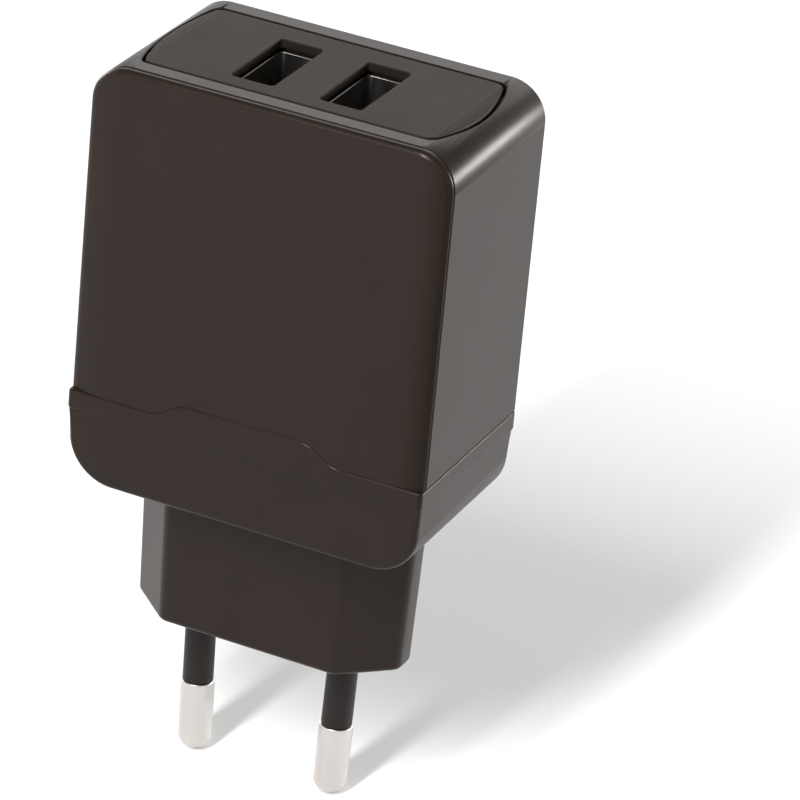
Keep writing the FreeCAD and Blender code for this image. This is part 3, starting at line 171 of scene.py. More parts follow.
LARGE_FACE = 40 * MM ** 2
SQUARE_ON = 0.99999
SMOOTH_ANGLE = math.radians(40)
MERGE = 1e-7
TOUCH = 1e-6


def add_piece(name, bm, material, slot, *nodes, body="charger"):
    """Turns a bmesh into an object that rides on a body and replaces CAD nodes. Flat faces stay flat."""
    bmesh.ops.remove_doubles(bm, verts=bm.verts, dist=MERGE)
    bmesh.ops.recalc_face_normals(bm, faces=bm.faces)
    curved = [max(abs(part) for part in face.normal) < SQUARE_ON and face.calc_area() < LARGE_FACE
              for face in bm.faces]
    mesh = bpy.data.meshes.new(name)
    bm.to_mesh(mesh)
    bm.free()
    mesh.set_sharp_from_angle(angle=SMOOTH_ANGLE)
    mesh.polygons.foreach_set("use_smooth", curved)
    mesh.materials.append(material)
    piece = bpy.data.objects.new(name, mesh)
    bpy.context.collection.objects.link(piece)
    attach(piece, body)
    if nodes:
        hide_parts(*nodes)
    return piece


def cut(bm, point, normal):
    """Adds an edge loop where a plane crosses the whole mesh."""
    bmesh.ops.bisect_plane(bm, geom=bm.verts[:] + bm.edges[:] + bm.faces[:], dist=MERGE,
                           plane_co=point, plane_no=normal)


def cut_across(bm, axis, *places):
    """Adds an edge loop at each place along an axis: 0 for x, 1 for y, 2 for z."""
    normal = Vector([float(axis == index) for index in range(3)])
    for place in places:
        cut(bm, normal * place, normal)


def verts_of(made):
    """The verts among what an operator made."""
    return [item for item in made["geom"] if isinstance(item, bmesh.types.BMVert)]


def round_edges(bm, edges, radius, segments, clamp=True):
    """Rounds edges; the arc starts a radius away from a square edge."""
    bmesh.ops.bevel(bm, geom=edges, offset=radius, offset_type="OFFSET", segments=segments, profile=0.5,
                    affect="EDGES", material=-1, clamp_overlap=clamp)


def round_corners(bm, verts, reach, segments):
    """Rounds corners of a flat sheet, starting a reach away from each; one segment makes a chamfer."""
    made = bmesh.ops.bevel(bm, geom=verts, offset=reach, offset_type="OFFSET", segments=segments, profile=0.5,
                           affect="VERTICES", material=-1, clamp_overlap=True)
    return made["verts"]


def thicken(bm, faces, offset):
    """Extrudes a flat sheet into a closed slab."""
    made = bmesh.ops.extrude_face_region(bm, geom=faces)
    bmesh.ops.translate(bm, verts=verts_of(made), vec=offset)


def remove_faces(bm, test):
    """Deletes faces by their centres and joins what is left of a flat sheet into one face."""
    bmesh.ops.delete(bm, geom=[face for face in bm.faces if test(face.calc_center_median())], context="FACES")
    shared = [edge for edge in bm.edges if len(edge.link_faces) == 2]
    bmesh.ops.dissolve_edges(bm, edges=shared, use_verts=True)
    straight = [vert for vert in bm.verts if len(vert.link_edges) == 2 and vert.calc_edge_angle(0) < 1e-3]
    bmesh.ops.dissolve_verts(bm, verts=straight)


BODY_CORNER = 4.5 * MM
BODY_HALF_FOOT = 22.0 * MM
BODY_HALF_TOP = 21.9 * MM
CORNER_STEPS = 18
TAB_FOOT_HALF = 11.2 * MM
TAB_TOP_HALF = 8.0 * MM
TAB_HEIGHT = 2.0 * MM
TAB_GAP = 0.06 * MM
TAB_CORNER = 0.9 * MM
COVER_THICKNESS = 0.9 * MM
COVER_RIM = 0.75 * MM
PILLOW_RUN = 4.2 * MM
PILLOW_DROP = 0.55 * MM
PILLOW_STEPS = 12
FINE_GRAIN = 0.006 * MM

cover_low, cover_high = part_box("front_cover")
collar_top = cover_low.z
tab_slope = Vector((TAB_HEIGHT, 0, TAB_FOOT_HALF - TAB_TOP_HALF)).normalized()
tab_top = collar_top + TAB_HEIGHT

bm = bmesh.new()
bmesh.ops.create_grid(bm, x_segments=1, y_segments=1, size=0.5)
for vert in bm.verts:
    is_top = vert.co.y > 0
    half = BODY_HALF_TOP if is_top else BODY_HALF_FOOT
    vert.co = Vector((math.copysign(half, vert.co.x), cover_low.y, cover_high.z if is_top else collar_top))
for side in (-1, 1):
    foot = Vector((side * (TAB_FOOT_HALF + TAB_GAP), 0, collar_top))
    cut(bm, foot, Vector((side * tab_slope.x, 0, tab_slope.z)))
cut_across(bm, 2, tab_top + TAB_GAP)
remove_faces(bm, lambda centre: centre.z < tab_top and abs(centre.x) < TAB_TOP_HALF)
top_corners = [vert for vert in bm.verts if vert.co.z > cover_high.z - TOUCH]
notch_corners = [vert for vert in bm.verts if abs(vert.co.x) < BODY_HALF_TOP - TOUCH]
round_corners(bm, notch_corners, TAB_CORNER, 6)
round_corners(bm, top_corners, BODY_CORNER, CORNER_STEPS)
thicken(bm, bm.faces[:], Vector((0, COVER_THICKNESS, 0)))
rim = [edge for edge in bm.edges if all(vert.co.y < cover_low.y + TOUCH for vert in edge.verts)]
foot_rim = [edge for edge in rim if max(vert.co.z for vert in edge.verts) < tab_top + TAB_CORNER]
open_rim = [edge for edge in rim if edge not in foot_rim]
round_edges(bm, open_rim, COVER_RIM, 8)
for side in (-1, 1):
    for step in range(PILLOW_STEPS):
        x = side * (BODY_HALF_TOP - PILLOW_RUN * (1 - step / PILLOW_STEPS))
        cut_across(bm, 0, x)
for vert in bm.verts:
    run = (abs(vert.co.x) - BODY_HALF_TOP + PILLOW_RUN) / PILLOW_RUN
    depth = (vert.co.y - cover_low.y) / COVER_THICKNESS
    if run > 0:
        vert.co.y += PILLOW_DROP * run ** 2 * (1 - depth)


def casing(name):
    """The casing's warm near-black plastic."""
    return plastic(name, (0.0135, 0.0095, 0.0068), 0.3, 2600, FINE_GRAIN)


cover_plastic = casing("cover_plastic")
add_piece("front_panel", bm, cover_plastic, "cover_plastic", "front_cover")


# ---- rear housing ----------------------------------------
# The upper shell: back, sides and top in one moulding of the same near-black plastic, 1.8 mm thick, open to
# the front and the bottom. A pocket in the top takes the port plate, which leaves a fine groove round it.
HOUSING_WALL = 1.8 * MM
BACK_RADIUS = 0.6 * MM
SEAM_RADIUS = 0.2 * MM
ROLL_STEPS = 15
ROLL_EASE = 2.5
PLATE_GAP = 0.25 * MM
PLATE_FRONT_HALF = 17.4 * MM
PLATE_BACK_HALF = 17.7 * MM
PLATE_BOW = 1.65 * MM
PLATE_CORNER = 1.0 * MM
BOW_STEPS = 16
GROOVE_RADIUS = 0.12 * MM
POCKET_FLOOR = 1.0 * MM
WINDOW_X = 6.22 * MM
WINDOW_Y = 13.6 * MM
PORT_X = 5.4 * MM

housing_low, housing_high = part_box("rear_housing")
plate_low, plate_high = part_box("port_plate")
body_top = housing_high.z


def plan_outline(bm, centre_x, half_x, y_low, y_high, z, end_steps=1):
    """One level rectangular face; its ends can have extra points. Returns its verts."""
    verts = bmesh.ops.create_grid(bm, x_segments=1, y_segments=end_steps, size=0.5)["verts"]
    for vert in verts:
        vert.co = Vector((centre_x + 2 * half_x * vert.co.x, y_low + (y_high - y_low) * (vert.co.y + 0.5), z))
    rungs = {edge for vert in verts for edge in vert.link_edges if len(edge.link_faces) == 2}
    bmesh.ops.dissolve_edges(bm, edges=list(rungs), use_verts=False)
    return verts


def plate_outline(bm, growth, z):
    """The port plate's plan: straight front and back, ends bowed outwards, corners rounded."""
    y_low = plate_low.y - growth
    y_high = plate_high.y + growth
    verts = plan_outline(bm, 0, PLATE_FRONT_HALF + growth, y_low, y_high, z, BOW_STEPS)
    corners = [vert for vert in verts if min(vert.co.y - y_low, y_high - vert.co.y) < TOUCH]
    for vert in verts:
        share = (vert.co.y - y_low) / (y_high - y_low)
        widen = (PLATE_BACK_HALF - PLATE_FRONT_HALF) * share + PLATE_BOW * 4 * share * (1 - share)
        vert.co.x += math.copysign(widen, vert.co.x)
    round_corners(bm, corners, PLATE_CORNER, 5)


def fill_between(bm):
    """Fills the space between nested outlines with a flat sheet."""
    bmesh.ops.delete(bm, geom=bm.faces[:], context="FACES_ONLY")
    bmesh.ops.triangle_fill(bm, edges=bm.edges[:], use_beauty=True, use_dissolve=False)


def join_flat(bm, *splits):
    """Joins faces that lie in one plane, except across x = each split, so that no face has a hole."""
    for x in splits:
        cut_across(bm, 0, x)
        for edge in bm.edges:
            edge.seam = edge.seam or all(abs(vert.co.x - x) < TOUCH for vert in edge.verts)
    bmesh.ops.dissolve_limit(bm, angle_limit=math.radians(0.3), verts=bm.verts[:], edges=bm.edges[:],
                             delimit={"SEAM"})


def roll_ends(bm, half, radius, direction, *splits):
    """Bends both ends of a level sheet round a quarter circle, down for -1 and up for 1."""
    flat_half = half - radius
    angles = [90 * step / ROLL_STEPS for step in range(ROLL_STEPS)] + [ROLL_EASE, 90 - ROLL_EASE]
    for side in (-1, 1):
        for angle in angles:
            x = side * (flat_half + radius * math.sin(math.radians(angle)))
            cut_across(bm, 0, x)
    for vert in bm.verts:
        past = min(abs(vert.co.x) - flat_half, radius)
        if past > 0:
            vert.co.z += direction * (radius - math.sqrt(radius ** 2 - past ** 2))
    join_flat(bm, *splits)


def open_edges(bm, test):
    """Open edges whose both ends pass a test."""
    return [edge for edge in bm.edges if edge.is_boundary and all(test(vert.co) for vert in edge.verts)]


def extrude_open(bm, edges):
    """Extrudes open edges and returns the new verts."""
    return verts_of(bmesh.ops.extrude_edge_only(bm, edges=edges))


def rim_edges(bm, test, least_angle=0.5):
    """Sharp edges whose both ends pass a test."""
    return [edge for edge in bm.edges if len(edge.link_faces) == 2
            and all(test(vert.co) for vert in edge.verts) and edge.calc_face_angle(0) > least_angle]


def on_pocket(point):
    """True on the pocket's outline."""
    return abs(point.x) < BODY_HALF_TOP - TOUCH and housing_low.y + TOUCH < point.y < housing_high.y - TOUCH


def on_skirt(point):
    """True on the outline of the housing's top, except its open front."""
    return abs(point.x) > BODY_HALF_TOP - TOUCH or point.y > housing_high.y - TOUCH


bm = bmesh.new()
plan_outline(bm, 0, BODY_HALF_TOP, housing_low.y, housing_high.y, body_top)
plate_outline(bm, PLATE_GAP + GROOVE_RADIUS, body_top)
fill_between(bm)
roll_ends(bm, BODY_HALF_TOP, BODY_CORNER, -1, 0)
pocket_middle = (plate_low.y + plate_high.y) / 2
pocket_reach = plate_high.x, (plate_high.y - plate_low.y) / 2
for vert in extrude_open(bm, open_edges(bm, on_pocket)):
    vert.co.x *= 1 - GROOVE_RADIUS / pocket_reach[0]
    vert.co.y += (pocket_middle - vert.co.y) * GROOVE_RADIUS / pocket_reach[1]
    vert.co.z -= GROOVE_RADIUS
for vert in extrude_open(bm, open_edges(bm, on_skirt)):
    vert.co.z = collar_top
    vert.co.x *= BODY_HALF_FOOT / BODY_HALF_TOP
join_flat(bm)
bmesh.ops.recalc_face_normals(bm, faces=bm.faces)
bmesh.ops.solidify(bm, geom=bm.faces[:], thickness=HOUSING_WALL)
bmesh.ops.recalc_face_normals(bm, faces=bm.faces)
round_edges(bm, rim_edges(bm, lambda point: point.y > housing_high.y - TOUCH), BACK_RADIUS, 6)


def faces_away(edge):
    """True where a rim edge belongs to the outer skin, not to the hollow."""
    outward = (edge.verts[0].co + edge.verts[1].co) / 2 - Vector((0, 0, body_top / 2))
    return any(abs(face.normal.y) < 0.5 and face.normal.dot(Vector((outward.x, 0, outward.z))) > 0
               for face in edge.link_faces)


seam = rim_edges(bm, lambda point: point.y < housing_low.y + TOUCH and point.z > collar_top - TOUCH)
seam = [edge for edge in seam if faces_away(edge)
        and max(vert.co.z for vert in edge.verts) > collar_top + TOUCH]
round_edges(bm, seam, SEAM_RADIUS, 3)

pocket_floor = bmesh.new()
floor_z = body_top - POCKET_FLOOR
plan_outline(pocket_floor, 0, BODY_HALF_TOP - HOUSING_WALL, plate_low.y - HOUSING_WALL,
             plate_high.y + HOUSING_WALL, floor_z)
for side in (-1, 1):
    plan_outline(pocket_floor, side * PORT_X, WINDOW_X / 2, -WINDOW_Y / 2, WINDOW_Y / 2, floor_z)
fill_between(pocket_floor)
thicken(pocket_floor, pocket_floor.faces[:], Vector((0, 0, -POCKET_FLOOR)))
housing_plastic = casing("housing_plastic")
add_piece("upper_shell", bm, housing_plastic, "housing_plastic", "rear_housing")
add_piece("plate_seat", pocket_floor, housing_plastic, "housing_plastic", "rear_housing")


# ---- port plate ------------------------------------------
# A separate moulded plate, 1 mm thick, with a fine spark-eroded texture. It is glued in the pocket of the
# housing, follows the round ends of the top, and has a square-cut mouth for each port.
PLATE_EDGE = 0.12 * MM
PLATE_PLAY = 0.08 * MM
MOUTH_X = 5.3 * MM
MOUTH_Y = 12.6 * MM
MOUTH_CORNER = 0.5 * MM
PLATE_THICKNESS = 1.0 * MM

bm = bmesh.new()
plate_outline(bm, -PLATE_PLAY, body_top)
for side in (-1, 1):
    mouth = plan_outline(bm, side * PORT_X, MOUTH_X / 2, -MOUTH_Y / 2, MOUTH_Y / 2, body_top)
    round_corners(bm, mouth, MOUTH_CORNER, 5)
fill_between(bm)
roll_ends(bm, BODY_HALF_TOP, BODY_CORNER, -1, 0, -PORT_X, PORT_X)
thicken(bm, bm.faces[:], Vector((0, 0, -PLATE_THICKNESS)))
bmesh.ops.recalc_face_normals(bm, faces=bm.faces)
upper_rim = rim_edges(bm, lambda point: point.z > body_top - PLATE_THICKNESS * 0.7, 1.2)
round_edges(bm, upper_rim, PLATE_EDGE, 3, clamp=False)
plate_plastic = plastic("plate_plastic", (0.0145, 0.0105, 0.0078), 0.55, 5200, 0.00003)
add_piece("port_face", bm, plate_plastic, "plate_plastic", "port_plate")


# ---- lower cap -------------------------------------------
# The cup that closes the casing below: round bottom corners, walls that flare a little, and an eight-sided
# opening that the plug body passes through. Its proud collar is notched into the front cover by a low tab.
CAP_HALF_X = 22.0 * MM
CAP_HALF_Y = 12.3 * MM
CAP_FLARE = 0.25 * MM
CAP_CORNER = 5.5 * MM
CAP_EDGE = 0.6 * MM
CAP_WALL = 1.8 * MM
COLLAR_FOOT = 27.0 * MM
COLLAR_HALF_X = 22.15 * MM
COLLAR_HALF_Y = 12.55 * MM
COLLAR_WALL = 1.25 * MM
COLLAR_CORNER = 0.5 * MM
COLLAR_EDGE = 0.22 * MM
NECK_HALF_X = 16.9 * MM
NECK_HALF_Y = 6.85 * MM
NECK_CHAMFER_X = 5.7 * MM
NECK_CHAMFER_Y = 5.3 * MM
NECK_CORNER_REACH = 0.62 * MM
NECK_FLARE_X = 0.5 * MM
NECK_FLARE_Y = 0.15 * MM
NECK_GAP = 0.05 * MM

cap_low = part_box("lower_cap")[0]


def neck_outline(bm, growth_x, growth_y, z):
    """The plug body's eight-sided plan, with rounded corners."""
    half_x = NECK_HALF_X + growth_x
    half_y = NECK_HALF_Y + growth_y
    corners = plan_outline(bm, 0, half_x, -half_y, half_y, z)
    corners = round_corners(bm, corners, NECK_CHAMFER_Y, 1)
    for vert in corners:
        if abs(vert.co.x) > half_x - TOUCH:
            vert.co.y = math.copysign(half_y - NECK_CHAMFER_Y, vert.co.y)
        else:
            vert.co.x = math.copysign(half_x - NECK_CHAMFER_X, vert.co.x)
    round_corners(bm, corners, NECK_CORNER_REACH, 5)


def flare(bm, z_low, z_high, half_x, half_y, grow_x, grow_y):
    """Widens a shape evenly on its way up, by the given amounts at its top."""
    for vert in bm.verts:
        share = (vert.co.z - z_low) / (z_high - z_low)
        vert.co.x *= 1 + share * grow_x / half_x
        vert.co.y *= 1 + share * grow_y / half_y


foot_x = CAP_HALF_X - CAP_FLARE
foot_y = CAP_HALF_Y - CAP_FLARE
bm = bmesh.new()
plan_outline(bm, 0, foot_x, -foot_y, foot_y, cap_low.z)
neck_outline(bm, NECK_FLARE_X + NECK_GAP, NECK_FLARE_Y + NECK_GAP, cap_low.z)
fill_between(bm)
roll_ends(bm, foot_x, CAP_CORNER, 1, 0)
rim = open_edges(bm, lambda point: abs(point.x) > foot_x - TOUCH or abs(point.y) > foot_y - TOUCH)
for vert in extrude_open(bm, rim):
    vert.co.z = COLLAR_FOOT + COLLAR_EDGE
flare(bm, cap_low.z, COLLAR_FOOT, foot_x, foot_y, CAP_FLARE, CAP_FLARE)
join_flat(bm)
bmesh.ops.recalc_face_normals(bm, faces=bm.faces)
bmesh.ops.solidify(bm, geom=bm.faces[:], thickness=CAP_WALL)
bmesh.ops.recalc_face_normals(bm, faces=bm.faces)
outer = rim_edges(bm, lambda point: abs(point.y) > foot_y - TOUCH, 0.8)
outer = [edge for edge in outer if min(vert.co.z for vert in edge.verts) < COLLAR_FOOT]
round_edges(bm, outer, CAP_EDGE, 6, clamp=False)
cap_plastic = casing("cap_plastic")
add_piece("cap_cup", bm, cap_plastic, "cap_plastic", "lower_cap")

bm = bmesh.new()
inner_y = COLLAR_HALF_Y - COLLAR_WALL
plan_outline(bm, 0, COLLAR_HALF_X, -COLLAR_HALF_Y, COLLAR_HALF_Y, COLLAR_FOOT)
plan_outline(bm, 0, COLLAR_HALF_X - COLLAR_WALL, -inner_y, inner_y, COLLAR_FOOT)
fill_between(bm)
cut_across(bm, 0, -TAB_FOOT_HALF, TAB_FOOT_HALF)
thicken(bm, bm.faces[:], Vector((0, 0, collar_top - COLLAR_FOOT)))
bmesh.ops.recalc_face_normals(bm, faces=bm.faces)
tab_base = [face for face in bm.faces if face.normal.z > 0.5 and face.calc_center_median().y < -inner_y
            and abs(face.calc_center_median().x) < TAB_FOOT_HALF]
for vert in verts_of(bmesh.ops.extrude_face_region(bm, geom=tab_base)):
    vert.co.z = tab_top
    vert.co.x *= TAB_TOP_HALF / TAB_FOOT_HALF
bmesh.ops.delete(bm, geom=[face for face in tab_base if face.is_valid], context="FACES")
join_flat(bm)


def on_upright(point):
    """True on the collar's four outer corners."""
    return abs(point.x) > COLLAR_HALF_X - TOUCH and abs(point.y) > COLLAR_HALF_Y - TOUCH


def on_tab_rim(point):
    """True on the top of the collar's front wall and on the tab."""
    return point.z > collar_top - TOUCH and point.y < -inner_y + TOUCH


def crosses_tab(edge):
    """True where one of the tab's edges runs from front to back."""
    start, end = (vert.co for vert in edge.verts)
    return (abs(start.x - end.x) < TOUCH and abs(start.y - end.y) > COLLAR_WALL / 2
            and abs(start.x) < TAB_FOOT_HALF + TOUCH)


def on_outer_rim(point):
    """True on the collar's outer sides and round its corners."""
    return abs(point.x) > COLLAR_HALF_X - COLLAR_CORNER - TOUCH or abs(point.y) > COLLAR_HALF_Y - TOUCH


def is_outer_side(face):
    """True for an upright face on the outside of the collar."""
    centre = face.calc_center_median()
    outside = abs(centre.y) > COLLAR_HALF_Y - COLLAR_CORNER or abs(centre.x) > COLLAR_HALF_X - COLLAR_CORNER
    return abs(face.normal.z) < 0.3 and outside


uprights = [edge for edge in rim_edges(bm, on_upright)
            if abs(edge.verts[0].co.z - edge.verts[1].co.z) > COLLAR_WALL]
round_edges(bm, uprights, COLLAR_CORNER, 6)
round_edges(bm, [edge for edge in rim_edges(bm, on_tab_rim, 0.3) if crosses_tab(edge)], TAB_CORNER, 6)
outer_rim = [edge for edge in rim_edges(bm, on_outer_rim, 0.8) if any(map(is_outer_side, edge.link_faces))]
round_edges(bm, outer_rim, COLLAR_EDGE, 4, clamp=False)
add_piece("collar", bm, cap_plastic, "cap_plastic", "lower_cap")


# ---- plug body -------------------------------------------
# The solid eight-sided moulding that enters the socket's recess. It is moulded round the pins and widens
# a little towards the cap; a shallow dish surrounds each pin on the face that meets the socket.
NECK_TOP = 19.9 * MM
NECK_FOOT_RADIUS = 0.7 * MM
PIN_SPACING = 18.6 * MM
DISH_RADIUS = 2.5 * MM
DISH_DEPTH = 0.4 * MM
ROUND_STEPS = 64

bm = bmesh.new()
neck_outline(bm, 0, 0, 0)
for side in (-1, 1):
    bmesh.ops.create_circle(bm, cap_ends=False, segments=ROUND_STEPS, radius=DISH_RADIUS,
                            matrix=Matrix.Translation((side * PIN_SPACING / 2, 0, 0)))
fill_between(bm)
join_flat(bm, 0, -PIN_SPACING / 2, PIN_SPACING / 2)


def in_dish(point):
    """True on the outline of either pin's dish."""
    return math.hypot(abs(point.x) - PIN_SPACING / 2, point.y) < DISH_RADIUS + TOUCH


for vert in extrude_open(bm, open_edges(bm, in_dish)):
    vert.co.z = DISH_DEPTH
bmesh.ops.holes_fill(bm, edges=open_edges(bm, lambda point: point.z > TOUCH), sides=0)
for vert in extrude_open(bm, open_edges(bm, lambda point: point.z < TOUCH)):
    vert.co.z = NECK_TOP
flare(bm, 0, cap_low.z, NECK_HALF_X, NECK_HALF_Y, NECK_FLARE_X, NECK_FLARE_Y)
bmesh.ops.holes_fill(bm, edges=open_edges(bm, lambda point: point.z > DISH_DEPTH + TOUCH), sides=0)
bmesh.ops.recalc_face_normals(bm, faces=bm.faces)
foot = rim_edges(bm, lambda point: point.z < TOUCH and not in_dish(point))
round_edges(bm, foot, NECK_FOOT_RADIUS, 6)
plug_plastic = casing("plug_plastic")
add_piece("plug_block", bm, plug_plastic, "plug_plastic", "plug_body")


# ---- pins and sleeves ------------------------------------
# Two 4 mm pins, turned from brass and nickel plated, with blunt round noses. Their root halves are turned
# thinner and wear moulded black sleeves. They lean together a little, so that they grip in the socket.
PIN_RADIUS = 2.0 * MM
PIN_CORE = 1.5 * MM
PIN_TIP = -19.0 * MM
PIN_NOSE = 1.5 * MM
PIN_TOP = 22.5 * MM
PIN_LEAN = math.asin(0.4 / 19)
SLEEVE_RADIUS = 1.82 * MM
SLEEVE_LOW = -10.0 * MM
SLEEVE_HIGH = 1.5 * MM
SHOULDER = 0.12 * MM


def turned(points, matrix):
    """Part turned about Z from (radius, height, corner reach) points, then moved by a matrix."""
    bm = bmesh.new()
    verts = [bm.verts.new((radius, 0, height)) for radius, height, _ in points]
    bm.faces.new(verts)
    for vert, (_, _, reach) in zip(verts, points):
        if reach:
            round_corners(bm, [vert], reach, 6)
    bmesh.ops.delete(bm, geom=bm.faces[:], context="FACES_ONLY")
    axis = [edge for edge in bm.edges if all(abs(vert.co.x) < MERGE for vert in edge.verts)]
    bmesh.ops.delete(bm, geom=axis, context="EDGES")
    bmesh.ops.spin(bm, geom=bm.verts[:] + bm.edges[:], cent=(0, 0, 0), axis=(0, 0, 1), dvec=(0, 0, 0),
                   angle=math.tau, steps=ROUND_STEPS, use_merge=True, use_duplicate=False)
    bmesh.ops.remove_doubles(bm, verts=bm.verts, dist=MERGE)
    bmesh.ops.transform(bm, matrix=matrix, verts=bm.verts)
    return bm


def metal(name, colour, roughness, scratch, stretch):
    """Bare or plated metal: fine drawn or brushed lines, and small changes of gloss."""
    finish = Finish(name, metallic=1.0)
    lines = finish.noise(scratch, 4, stretch)
    finish.use("Base Color", finish.blend(lines, shade(colour, 0.93), colour))
    finish.use("Roughness", finish.span(lines, roughness * 0.7, roughness * 1.3))
    finish.bump(lines, 0.0000015)
    return finish.material


nickel = metal("nickel_plate", (0.62, 0.585, 0.56), 0.3, 900, (1, 1, 0.15))
sleeve_plastic = plastic("sleeve_plastic", (0.012, 0.011, 0.010), 0.5, 2600, FINE_GRAIN)
for word, side in (("left", -1), ("right", 1)):
    place = Matrix.Translation((side * PIN_SPACING / 2, 0, 0)) @ Matrix.Rotation(side * PIN_LEAN, 4, "Y")
    pin = turned([(0, PIN_TIP, 0), (PIN_RADIUS, PIN_TIP, PIN_NOSE), (PIN_RADIUS, SLEEVE_LOW, SHOULDER),
                  (PIN_CORE, SLEEVE_LOW, 0), (PIN_CORE, PIN_TOP, SHOULDER), (0, PIN_TOP, 0)], place)
    add_piece(word + "_contact_pin", pin, nickel, "plated_brass", word + "_pin")
    sleeve = turned([(PIN_CORE, SLEEVE_LOW, 0), (SLEEVE_RADIUS, SLEEVE_LOW, SHOULDER),
                     (SLEEVE_RADIUS, SLEEVE_HIGH, 0), (PIN_CORE, SLEEVE_HIGH, 0)], place)
    add_piece(word + "_sleeve", sleeve, sleeve_plastic, "sleeve_plastic", word + "_pin_sleeve")


# ---- port shells -----------------------------------------
# Each port is a tube folded from 0.3 mm tinned steel. Two springs are cut from each long wall and bent
# inwards to hold the plug, and four legs go down through the port board.
SHELL_SHEET = 0.3 * MM
SHELL_X = 5.12 * MM
SHELL_Y = 12.5 * MM
SHELL_CORNER = 0.5 * MM
SHELL_EDGE = 0.1 * MM
SPRING_ROOT = 2.5 * MM
SPRING_LENGTH = 5.5 * MM
SPRING_HALF = 1.0 * MM
SPRING_SLIT = 0.35 * MM
SPRING_DIP = 0.35 * MM
SPRING_PLACES = (-3 * MM, 3 * MM)
LEG_HALF = 0.7 * MM

board_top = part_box("port_board")[1].z
shell_low, shell_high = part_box("left_port_shell")
rim_z = shell_high.z
spring_root = rim_z - SPRING_ROOT
spring_bend = spring_root - SPRING_LENGTH * 0.75
spring_tip = spring_root - SPRING_LENGTH
window_foot = spring_tip - SPRING_SLIT
# The steel's dark grey, much darker than bare tinned steel, is painted shade that stands in for the dim
# inside of each port.
port_steel = metal("port_steel", (0.22, 0.21, 0.20), 0.34, 700, (1, 1, 0.2))


def spring_offset(point):
    """Distance along the wall from the middle of the nearest spring."""
    return min(abs(point.y - place) for place in SPRING_PLACES)


def on_leg(point):
    """True where a leg starts at the foot of a long wall."""
    on_wall = point.z < board_top + TOUCH and abs(point.x) > SHELL_X / 2 - TOUCH
    return on_wall and spring_offset(point) < LEG_HALF + TOUCH


for word, side in (("left", -1), ("right", 1)):
    bm = bmesh.new()
    corners = plan_outline(bm, 0, SHELL_X / 2, -SHELL_Y / 2, SHELL_Y / 2, board_top)
    round_corners(bm, corners, SHELL_CORNER, 5)
    bmesh.ops.delete(bm, geom=bm.faces[:], context="FACES_ONLY")
    for vert in extrude_open(bm, bm.edges[:]):
        vert.co.z = rim_z
    bmesh.ops.recalc_face_normals(bm, faces=bm.faces)
    for place in SPRING_PLACES:
        for step in (SPRING_HALF, SPRING_HALF + SPRING_SLIT, LEG_HALF):
            cut_across(bm, 1, place - step, place + step)
    cut_across(bm, 2, spring_root, spring_bend, spring_tip, window_foot)
    slits = []
    for face in bm.faces:
        centre = face.calc_center_median()
        if abs(centre.x) > SHELL_X / 2 - TOUCH and window_foot < centre.z < spring_root:
            offset = spring_offset(centre)
            beside = SPRING_HALF < offset < SPRING_HALF + SPRING_SLIT
            if beside or offset < SPRING_HALF and centre.z < spring_tip:
                slits.append(face)
    bmesh.ops.delete(bm, geom=slits, context="FACES")
    for vert in bm.verts:
        if abs(vert.co.x) > SHELL_X / 2 - TOUCH and spring_offset(vert.co) < SPRING_HALF + TOUCH:
            if abs(vert.co.z - spring_bend) < TOUCH:
                vert.co.x -= math.copysign(SPRING_DIP, vert.co.x)
            if abs(vert.co.z - spring_tip) < TOUCH:
                vert.co.x -= math.copysign(SPRING_DIP * 0.4, vert.co.x)
    for vert in extrude_open(bm, open_edges(bm, on_leg)):
        vert.co.z = shell_low.z
    bmesh.ops.solidify(bm, geom=bm.faces[:], thickness=-SHELL_SHEET)
    bmesh.ops.recalc_face_normals(bm, faces=bm.faces)
    round_edges(bm, rim_edges(bm, lambda point: point.z > rim_z - TOUCH, 1.2), SHELL_EDGE, 3)
    bmesh.ops.translate(bm, verts=bm.verts, vec=(side * PORT_X, 0, 0))
    add_piece(word + "_shell", bm, port_steel, "port_steel", word + "_port_shell")


# ---- port tongues ----------------------------------------
# The black insulator in each port: a block in the foot of the shell, and a flat tongue with four grooves
# for the contacts. Its tip is eased, so that a plug slides over it.
TONGUE_DEPTH = 1.84 * MM
TONGUE_HALF = 5.55 * MM
TONGUE_BASE = 2.2 * MM
TONGUE_TIP_EDGE = 0.3 * MM
GROOVE_HALF = 0.65 * MM
GROOVE_DEPTH = 0.85 * MM
GROOVE_END = 0.7 * MM
BASE_PLAY = 0.05 * MM
BASE_END = 0.5 * MM
CONTACT_PLACES = (-3.5 * MM, -1.0 * MM, 1.0 * MM, 3.5 * MM)

